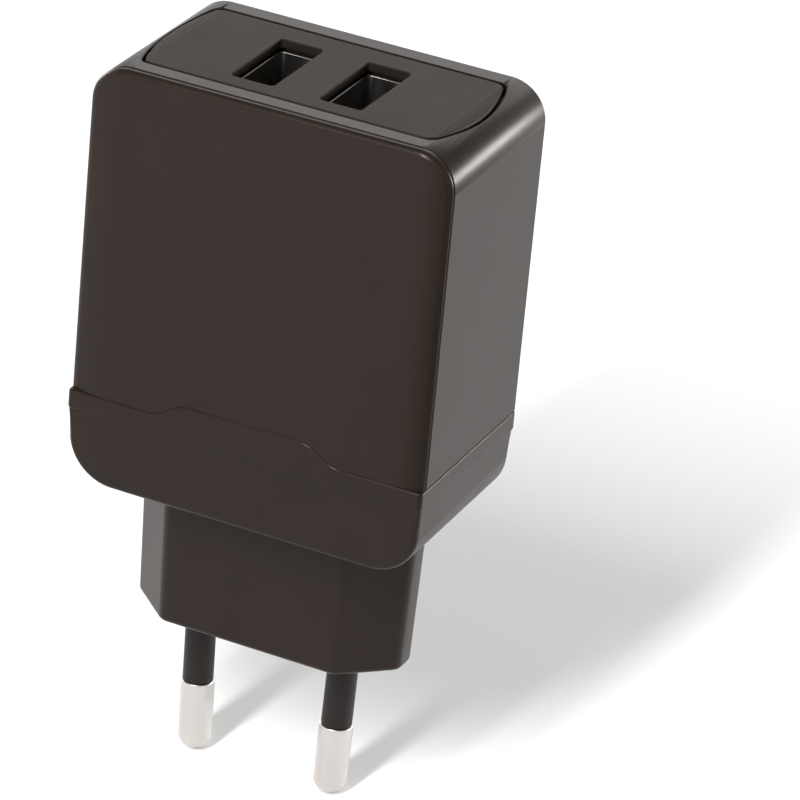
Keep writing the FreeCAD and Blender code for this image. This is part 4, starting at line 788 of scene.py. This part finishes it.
tongue_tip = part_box("left_port_tongue")[1].z
base_top = board_top + TONGUE_BASE
tongue_plastic = plastic("tongue_plastic", (0.02, 0.02, 0.021), 0.38, 2200, FINE_GRAIN)
for word, side in (("left", -1), ("right", 1)):
    bm = bmesh.new()
    face_verts = plan_outline(bm, 0, TONGUE_DEPTH, -TONGUE_HALF, TONGUE_HALF, 0)
    for vert in face_verts:
        vert.co = Vector((0, vert.co.y, tongue_tip if vert.co.x > 0 else base_top - BASE_END))
    for place in CONTACT_PLACES:
        cut_across(bm, 1, place - GROOVE_HALF, place + GROOVE_HALF)
    cut_across(bm, 2, tongue_tip - GROOVE_END)
    grooves = [face for face in bm.faces if face.calc_center_median().z < tongue_tip - GROOVE_END
               and min(abs(face.calc_center_median().y - place) for place in CONTACT_PLACES) < GROOVE_HALF]
    rim = [edge for edge in bm.edges if edge.is_boundary]
    for vert in extrude_open(bm, rim):
        vert.co.x = TONGUE_DEPTH
    bmesh.ops.holes_fill(bm, edges=[edge for edge in bm.edges if edge.is_boundary], sides=0)
    sunk = verts_of(bmesh.ops.extrude_face_region(bm, geom=grooves))
    bmesh.ops.translate(bm, verts=sunk, vec=(GROOVE_DEPTH, 0, 0))
    bmesh.ops.delete(bm, geom=[face for face in grooves if face.is_valid], context="FACES")
    join_flat(bm)
    bmesh.ops.recalc_face_normals(bm, faces=bm.faces)
    round_edges(bm, rim_edges(bm, lambda point: point.z > tongue_tip - TOUCH, 1.2), TONGUE_TIP_EDGE, 4)
    base_y = SHELL_Y / 2 - BASE_END
    foot = plan_outline(bm, 0, SHELL_X / 2 - BASE_PLAY, -base_y, base_y, board_top)
    thicken(bm, list({face for vert in foot for face in vert.link_faces}), Vector((0, 0, TONGUE_BASE)))
    bmesh.ops.translate(bm, verts=bm.verts, vec=(side * PORT_X, 0, 0))
    add_piece(word + "_tongue", bm, tongue_plastic, "tongue_plastic", word + "_port_tongue")


# ---- port contacts ---------------------------------------
# Four spring fingers of gold-flashed bronze in each port. They stand in the tongue's grooves, arch out of
# them near the tip, and flex back into them when a plug goes in. Their tinned tails are soldered below.
FINGER_HALF = 0.5 * MM
FINGER_SHEET = 0.25 * MM
FINGER_STEPS = 28
FINGER_ROOT_X = 0.15 * MM
FINGER_HEEL_X = 0.02 * MM
FINGER_CREST_X = -0.42 * MM
FINGER_TIP_X = 0.10 * MM
FINGER_HEEL = 5.0 * MM
FINGER_CREST = 7.3 * MM
FINGER_LENGTH = 9.0 * MM


def finger_x(height):
    """How far the front of a finger stands from the port's middle plane at a height above its root."""
    if height < FINGER_HEEL:
        return FINGER_ROOT_X + (FINGER_HEEL_X - FINGER_ROOT_X) * height / FINGER_HEEL
    reach = FINGER_CREST - FINGER_HEEL if height < FINGER_CREST else FINGER_LENGTH - FINGER_CREST
    end_x = FINGER_HEEL_X if height < FINGER_CREST else FINGER_TIP_X
    return FINGER_CREST_X + (end_x - FINGER_CREST_X) * ((height - FINGER_CREST) / reach) ** 2


finger_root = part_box("left_port_contacts")[0].z
contact_gold = metal("contact_gold", (0.86, 0.62, 0.26), 0.25, 900, (1, 1, 0.2))
for word, side in (("left", -1), ("right", 1)):
    bm = bmesh.new()
    for place in CONTACT_PLACES:
        strip = bmesh.ops.create_grid(bm, x_segments=1, y_segments=FINGER_STEPS, size=0.5)["verts"]
        for vert in strip:
            height = (vert.co.y + 0.5) * FINGER_LENGTH
            half = FINGER_HALF * (0.7 if height > FINGER_LENGTH - TOUCH else 1)
            vert.co = Vector((finger_x(height), place + math.copysign(half, vert.co.x), finger_root + height))
    thicken(bm, bm.faces[:], Vector((FINGER_SHEET, 0, 0)))
    bmesh.ops.translate(bm, verts=bm.verts, vec=(side * PORT_X, 0, 0))
    add_piece(word + "_fingers", bm, contact_gold, "gold_plated_bronze", word + "_port_contacts",
              body=word + "_port_contacts")


# ---- port tails ------------------------------------------
# The contacts' feet: four flat tinned tails under each tongue, which pass through slots in the port board.
TIN = (0.66, 0.65, 0.62)


def dress(node, material):
    """Gives a CAD node its material."""
    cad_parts[node].material_slots[0].material = material


tinned = metal("tinned_tails", TIN, 0.34, 1500, (1, 1, 0.3))
for word in ("left", "right"):
    dress(word + "_port_tails", tinned)


# ---- mains contacts --------------------------------------
# Two strips stamped from hard spring brass and bent. Each presses on its pin and is soldered to the board.
brass = metal("contact_brass", (0.76, 0.53, 0.22), 0.3, 800, (1, 1, 0.1))
for word in ("left", "right"):
    dress(word + "_mains_contact", brass)


# ---- circuit boards --------------------------------------
# Two boards of 1.2 mm glass laminate: green solder mask over copper areas on both faces, and the bare
# yellowish laminate at the routed edges and in the drilled holes.
MASK_GREEN = (0.008, 0.085, 0.028)
LAMINATE = (0.42, 0.36, 0.17)
COPPER_AREA_LENGTH = 5.5 * MM
COPPER_AREA_WIDTH = 2.6 * MM
COPPER_GAP = 0.012
MASK_STEP = 0.02 * MM


def board_finish(name, turn, across):
    """Solder mask over copper areas on the broad faces; bare laminate on all others."""
    finish = Finish(name)
    vector = finish.node("ShaderNodeMapping", "Vector", {"Vector": finish.where, "Rotation": turn})
    sizes = {"Vector": vector, "Scale": 1 / (10 * COPPER_AREA_WIDTH), "Row Height": 0.1,
             "Brick Width": COPPER_AREA_LENGTH / COPPER_AREA_WIDTH / 10,
             "Mortar Size": COPPER_GAP, "Mortar Smooth": 0.1}
    gaps = finish.node("ShaderNodeTexBrick", "Fac", sizes)
    mask = finish.blend(gaps, shade(MASK_GREEN, 1.6), shade(MASK_GREEN, 0.7))
    faced = finish.node("ShaderNodeVectorMath", "Vector", {0: finish.facing, 1: across}, operation="MULTIPLY")
    faced = finish.node("ShaderNodeVectorMath", "Value", {0: faced}, operation="LENGTH")
    broad = finish.node("ShaderNodeMath", "Value", {0: faced, 1: 0.7}, operation="GREATER_THAN")
    fibres = finish.noise(2500, 3, (1, 1, 0.3))
    edge = finish.blend(fibres, shade(LAMINATE, 0.75), LAMINATE)
    finish.use("Base Color", finish.blend(broad, edge, mask))
    finish.use("Roughness", finish.span(broad, 0.75, 0.28))
    finish.bump(gaps, -MASK_STEP)
    return finish.material


dress("main_board", board_finish("main_laminate", (math.radians(90), 0, 0), (0, 1, 0)))
dress("port_board", board_finish("port_laminate", (0, 0, 0), (0, 0, 1)))


# ---- board header and solder -----------------------------
# Six square pins in a black strip join the boards at a right angle. Each lead on the main board ends in a
# bright cone of solder.
strip_plastic = plastic("strip_plastic", (0.012, 0.012, 0.013), 0.45, 3000, 0.000008)
dress("board_header", strip_plastic)
dress("header_pins", metal("pin_tin", TIN, 0.3, 1200, (1, 0.2, 0.2)))
dress("solder_joints", metal("bright_solder", (0.72, 0.72, 0.71), 0.22, 1800, (1, 1, 1)))


# ---- insulation sheet ------------------------------------
# A die-cut sheet of milky polyester film between the solder side of the main board and the housing.
film = Finish("milky_film")
waves = film.noise(90, 2)
film.use("Base Color", film.blend(waves, (0.70, 0.70, 0.64), (0.80, 0.80, 0.75)))
film.use("Roughness", film.span(waves, 0.22, 0.4))
film.bump(waves, 0.08 * MM)
dress("insulation_sheet", film.material)


# ---- fuse resistor and diode -----------------------------
# Axial parts that lie across the board on bent leads. The resistor has a grey cement coat with colour bands;
# the diode is black, with a pale band at its cathode end.
TO_LEADS = 0.02 * MM
CEMENT = (0.30, 0.33, 0.34)
BANDS = ((0.10, (0.25, 0.06, 0.02)), (0.28, (0.01, 0.01, 0.01)),
         (0.46, (0.01, 0.01, 0.01)), (0.78, (0.55, 0.36, 0.06)))
BAND_SHARE = 0.10
CATHODE = ((0.80, (0.62, 0.62, 0.60)),)


def banded(node, length, coat, roughness, bands):
    """An axial part along X: bands painted round its coated body, and tinned leads at both ends."""
    low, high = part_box(node)
    middle = (low + high) / 2
    finish = Finish(node + "_finish")
    colour = finish.blend(finish.noise(1500, 3), shade(coat, 0.85), coat)
    for share, paint in bands:
        centre = middle + Vector((length * (share + BAND_SHARE / 2 - 0.5), 0, 0))
        outside = finish.beyond(centre, (1, 0, 0), length * BAND_SHARE / 2)
        colour = finish.blend(outside, paint, colour)
    leads = finish.beyond(middle, (1, 0, 0), length / 2 + TO_LEADS)
    finish.use("Base Color", finish.blend(leads, colour, TIN))
    finish.use("Metallic", leads)
    finish.use("Roughness", finish.span(leads, roughness, 0.3))
    finish.bump(finish.noise(3000), 0.01 * MM)
    dress(node, finish.material)


banded("fuse_resistor", 4.8 * MM, CEMENT, 0.6, BANDS)
banded("snubber_diode", 5.2 * MM, (0.018, 0.018, 0.019), 0.4, CATHODE)


# ---- moulded packages ------------------------------------
# Transfer-moulded epoxy with a matt eroded surface: the black bridge, rectifier and controllers, and the
# white optocoupler. Their leads are tinned, round behind the through-hole parts and flat at the controller.
EPOXY = (0.017, 0.017, 0.018)
PART_BACK = 7.0 * MM
CONTROLLER_HALF = 1.95 * MM


def leaded(node, coat, roughness, centre, across, reach, grain=2600):
    """A coated or moulded body, and tinned leads where the part is more than a reach from its centre."""
    finish = Finish(node + "_finish")
    leads = finish.beyond(centre, across, reach + TO_LEADS)
    grit = finish.noise(grain, 3)
    finish.use("Base Color", finish.blend(leads, finish.blend(grit, shade(coat, 0.85), coat), TIN))
    finish.use("Metallic", leads)
    finish.use("Roughness", finish.span(leads, roughness, 0.3))
    finish.bump(grit, 0.008 * MM)
    dress(node, finish.material)


for node, coat in (("bridge_rectifier", EPOXY), ("optocoupler", (0.72, 0.71, 0.66))):
    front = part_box(node)[0].y
    leaded(node, coat, 0.5, (0, (front + PART_BACK) / 2, 0), (0, 1, 0), (PART_BACK - front) / 2)
low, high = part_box("controller_ic")
leaded("controller_ic", EPOXY, 0.5, (low + high) / 2, (0, 0, 1), CONTROLLER_HALF)
for node in ("output_rectifier", "charge_control_ics"):
    dress(node, plastic(node + "_finish", EPOXY, 0.5, 2600, 0.000008))


# ---- chip resistors and capacitors -----------------------
# Two rows of ceramic chips, 4 mm apart, on the solder side: black glazed resistors, tan capacitors, and
# tinned caps at the ends of each.
CHIP_PITCH = 4.0 * MM
CHIP_BODY_HALF = 0.68 * MM


def chip_row(node, first_x, ceramic, roughness):
    """Chips along X at one pitch, with tinned end caps."""
    finish = Finish(node + "_finish")
    x = finish.node("ShaderNodeSeparateXYZ", "X", {"Vector": finish.where})
    x = finish.node("ShaderNodeMath", "Value", {0: x, 1: first_x}, operation="SUBTRACT")
    half = CHIP_PITCH / 2
    x = finish.node("ShaderNodeMath", "Value", {0: x, 1: half, 2: -half}, operation="WRAP")
    x = finish.node("ShaderNodeMath", "Value", {0: x}, operation="ABSOLUTE")
    caps = finish.node("ShaderNodeMath", "Value", {0: x, 1: CHIP_BODY_HALF}, operation="GREATER_THAN")
    specks = finish.noise(4000, 2)
    finish.use("Base Color", finish.blend(caps, finish.blend(specks, shade(ceramic, 0.85), ceramic), TIN))
    finish.use("Metallic", caps)
    finish.use("Roughness", finish.span(caps, roughness, 0.35))
    finish.bump(specks, 0.004 * MM)
    dress(node, finish.material)


chip_row("smd_resistors", -13 * MM, (0.015, 0.015, 0.016), 0.25)
chip_row("smd_capacitors", 5 * MM, (0.36, 0.25, 0.15), 0.4)


# ---- safety capacitor ------------------------------------
# A ceramic disc dipped in blue epoxy, which stands between the mains side and the low-voltage side.
DISC_RADIUS = 4.0 * MM
low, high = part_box("safety_capacitor")
disc_centre = ((low.x + high.x) / 2, low.y + DISC_RADIUS, 0)
leaded("safety_capacitor", (0.02, 0.10, 0.36), 0.3, disc_centre, (1, 1, 0), DISC_RADIUS, grain=500)


# ---- input choke -----------------------------------------
# Enamelled copper wire, wound in two layers on a ferrite drum between its flanges.
FERRITE = (0.035, 0.035, 0.038)
WIRE_RADIUS = 0.2 * MM
CHOKE_LAYERS = (2.08 * MM, 2.5 * MM)
CHOKE_TURNS = 12
TURN_STEPS = 28

enamel = Finish("copper_enamel", metallic=1.0)
tarnish = enamel.noise(700, 3)
enamel.use("Base Color", enamel.blend(tarnish, (0.42, 0.13, 0.035), (0.60, 0.22, 0.07)))
enamel.use("Roughness", enamel.span(tarnish, 0.2, 0.35))
enamel.shader.inputs["Coat Weight"].default_value = 0.6
low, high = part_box("input_choke_winding")
start = Vector(((low.x + high.x) / 2, high.y - WIRE_RADIUS, (low.z + high.z) / 2))
turn_pitch = (high.y - low.y - 2 * WIRE_RADIUS) / CHOKE_TURNS
bm = bmesh.new()
for layer in CHOKE_LAYERS:
    ring = bmesh.ops.create_circle(bm, cap_ends=True, segments=8, radius=WIRE_RADIUS,
                                   matrix=Matrix.Translation(start + Vector((layer, 0, 0))))["verts"]
    faces = list({face for vert in ring for face in vert.link_faces})
    bmesh.ops.spin(bm, geom=faces, cent=start, axis=(0, 1, 0), dvec=(0, -turn_pitch / TURN_STEPS, 0),
                   angle=math.tau * CHOKE_TURNS, steps=TURN_STEPS * CHOKE_TURNS,
                   use_merge=False, use_duplicate=False)
add_piece("choke_wire", bm, enamel.material, "copper_wire", "input_choke_winding")
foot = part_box("input_choke_core")[0].y
leaded("input_choke_core", FERRITE, 0.55, (0, (foot + PART_BACK) / 2, 0), (0, 1, 0), (PART_BACK - foot) / 2)


# ---- transformer -----------------------------------------
# Two ground ferrite halves round a black bobbin. The copper winding is wrapped in yellow polyester tape, and
# eight tinned pins go down through the main board.
WINDING_PITCH = 0.3 * MM

ferrite = Finish("ground_ferrite")
grit = ferrite.noise(1800, 4)
ferrite.use("Base Color", ferrite.blend(grit, shade(FERRITE, 0.8), shade(FERRITE, 1.3)))
ferrite.use("Roughness", ferrite.span(grit, 0.4, 0.65))
ferrite.bump(grit, 0.01 * MM)
dress("transformer_core", ferrite.material)
dress("transformer_bobbin", strip_plastic)
tape = Finish("polyester_tape")
creases = tape.noise(260, 3, (1, 1, 4))
tape.use("Base Color", tape.blend(creases, (0.66, 0.40, 0.03), (0.82, 0.56, 0.07)))
tape.use("Roughness", tape.span(creases, 0.18, 0.32))
tape.bump(creases, 0.04 * MM)
dress("transformer_tape", tape.material)
wound = Finish("wound_copper", metallic=1.0)
# Bands across the turns: the crest of each turn is painted lighter and the groove between turns darker,
# painted highlight and painted shade. The same bands also make the crests glossier and raise them as ridges.
turn_ridges_and_shade = wound.bands("Z", WINDING_PITCH)
wound.use("Base Color", wound.blend(turn_ridges_and_shade, (0.30, 0.09, 0.03), (0.60, 0.22, 0.07)))
wound.use("Roughness", wound.span(turn_ridges_and_shade, 0.4, 0.22))
wound.bump(turn_ridges_and_shade, 0.1 * MM)
dress("transformer_winding", wound.material)
dress("transformer_pins", metal("bobbin_pins", TIN, 0.3, 1200, (1, 0.2, 1)))


# ---- sleeved capacitors ----------------------------------
# Three electrolytic capacitors on the mains side: a drawn aluminium can with a rolled groove over the rubber
# bung, a shrunk sleeve that leaves most of the closed end bare, and two tinned leads.
SLEEVE_SHEET = 0.12 * MM
GROOVE_AT = 1.7 * MM
GROOVE_RUN = 0.4 * MM
GROOVE_SINK = 0.25 * MM
CAN_EDGE = 0.35 * MM
SLEEVE_LIP = 0.7 * MM
BUNG_SINK = 0.3 * MM
LEAD_RADIUS = 0.3 * MM
LEAD_END = 9.5 * MM
LEAD_LENGTH = BUNG_SINK - PART_BACK + LEAD_END
SLEEVED = (("input_capacitor_lower", 4.0 * MM, 3.5 * MM), ("input_capacitor_upper", 4.0 * MM, 3.5 * MM),
           ("aux_capacitor", 2.5 * MM, 2.0 * MM))

can_metal = metal("drawn_aluminium", (0.82, 0.82, 0.83), 0.32, 900, (1, 0.1, 1))
shrink_sleeve = plastic("shrink_sleeve", (0.016, 0.017, 0.03), 0.28, 1200, 0.00001)
lead_tin = metal("lead_tin", TIN, 0.3, 1200, (1, 0.2, 1))


def can_profile(radius, length):
    """Outside of a can from its rolled groove to its rounded closed end."""
    return [(radius, GROOVE_AT - GROOVE_RUN, 0), (radius - GROOVE_SINK, GROOVE_AT, GROOVE_RUN / 2),
            (radius, GROOVE_AT + GROOVE_RUN, 0), (radius, length, CAN_EDGE)]


for node, radius, pitch in SLEEVED:
    low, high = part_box(node)
    length = PART_BACK - low.y
    place = Matrix.Translation(((low.x + high.x) / 2, PART_BACK, (low.z + high.z) / 2))
    stand = place @ Matrix.Rotation(math.radians(90), 4, "X")
    bare = radius - SLEEVE_SHEET
    end = length - SLEEVE_SHEET
    core = can_profile(bare, end)
    bung = [(0, BUNG_SINK, 0), (bare - 2 * BUNG_SINK, BUNG_SINK, 0), (bare - BUNG_SINK, 0, 0)]
    add_piece(node + "_can", turned(bung + core + [(0, end, 0)], stand), can_metal, "can_aluminium", node)
    skin = [(bare, GROOVE_RUN, 0)] + can_profile(radius, length)
    lip = [(radius - SLEEVE_LIP, length, 0), (radius - SLEEVE_LIP, end, 0)]
    sleeve = turned(skin + lip + core[::-1], stand)
    add_piece(node + "_sleeve", sleeve, shrink_sleeve, "capacitor_sleeve", node)
    leads = bmesh.new()
    for side in (-1, 1):
        place = Matrix.Translation((0, side * pitch / 2, BUNG_SINK - LEAD_LENGTH / 2))
        bmesh.ops.create_cone(leads, cap_ends=True, segments=16, radius1=LEAD_RADIUS, radius2=LEAD_RADIUS,
                              depth=LEAD_LENGTH, matrix=place)
    bmesh.ops.transform(leads, matrix=stand, verts=leads.verts)
    add_piece(node + "_leads", leads, lead_tin, "tinned_metal", node)


# ---- output capacitors -----------------------------------
# Two polymer capacitors with bare aluminium cans, one beside each port on the port board.
for word in ("left", "right"):
    dress(word + "_output_capacitor", can_metal)


# ---- floor and light -------------------------------------
# A plain white table under the pin tips, in a room that is brighter at the horizon than overhead. Three soft
# boxes stand left, right and behind, a tall narrow strip in front is the key, and a black card lies on the
# table at the front right, where it darkens what the cover's right edge reflects.
FLOOR_SIZE = 6.0
FLOOR_DROP = 0.2 * MM
CARD_X = 0.2
CARD_Y = -0.3
CARD_WIDTH = 0.38
CARD_DEPTH = 0.44
CARD_LIFT = 1.0 * MM
ROOM_TURN = 0.6
ROOM_HORIZON = 1.1
ROOM_OVERHEAD = 0.29
LIGHT_TARGET = Vector((0, 0, 0.03))


def staged_sheet(name, x, y, z, width, depth, grey, roughness):
    """A flat level sheet that is part of the studio, not of the charger."""
    bm = bmesh.new()
    bmesh.ops.create_grid(bm, x_segments=1, y_segments=1, size=0.5)
    for vert in bm.verts:
        vert.co = Vector((x + vert.co.x * width, y + vert.co.y * depth, z))
    mesh = bpy.data.meshes.new(name)
    bm.to_mesh(mesh)
    bm.free()
    material = bpy.data.materials.new(name + "_surface")
    material.use_nodes = True
    shader = material.node_tree.nodes["Principled BSDF"]
    shader.inputs["Base Color"].default_value = (grey, grey, grey, 1)
    shader.inputs["Roughness"].default_value = roughness
    mesh.materials.append(material)
    sheet = bpy.data.objects.new(name, mesh)
    bpy.context.collection.objects.link(sheet)


pin_tips = cad_box[0][2]
staged_sheet("floor", 0, 0, pin_tips - FLOOR_DROP, FLOOR_SIZE, FLOOR_SIZE, 0.86, 0.9)
staged_sheet("dark_card", CARD_X, CARD_Y, pin_tips + CARD_LIFT, CARD_WIDTH, CARD_DEPTH, 0.02, 0.5)

world = bpy.data.worlds.new("room")
world.use_nodes = True
world.node_tree.nodes["Background"].inputs["Color"].default_value = (1, 1, 1, 1)
direction = world.node_tree.nodes.new("ShaderNodeSeparateXYZ")
fade = world.node_tree.nodes.new("ShaderNodeMapRange")
fade.inputs["From Max"].default_value = ROOM_TURN
fade.inputs["To Min"].default_value = ROOM_HORIZON
fade.inputs["To Max"].default_value = ROOM_OVERHEAD
around = world.node_tree.nodes.new("ShaderNodeTexCoord").outputs["Generated"]
world.node_tree.links.new(around, direction.inputs["Vector"])
world.node_tree.links.new(direction.outputs["Z"], fade.inputs["Value"])
world.node_tree.links.new(fade.outputs["Result"], world.node_tree.nodes["Background"].inputs["Strength"])
bpy.context.scene.world = world


def soft_box(name, watts, width, height, at):
    """Soft rectangular light that faces the charger."""
    data = bpy.data.lights.new(name, "AREA")
    data.shape = "RECTANGLE"
    data.energy = watts
    data.size = width
    data.size_y = height
    light = bpy.data.objects.new(name, data)
    light.location = at
    light.rotation_euler = (LIGHT_TARGET - Vector(at)).to_track_quat("-Z", "Y").to_euler()
    bpy.context.collection.objects.link(light)


soft_box("left_box", 12, 0.8, 0.5, (-1.2, 0.4, 0.2))
soft_box("right_box", 16, 0.8, 0.25, (0.9, 0.8, 0.08))
soft_box("back_box", 6, 1.4, 0.8, (-0.3, 1.3, 0.8))
soft_box("key_strip", 18, 0.12, 0.75, (-0.08, -0.89, 0.83))
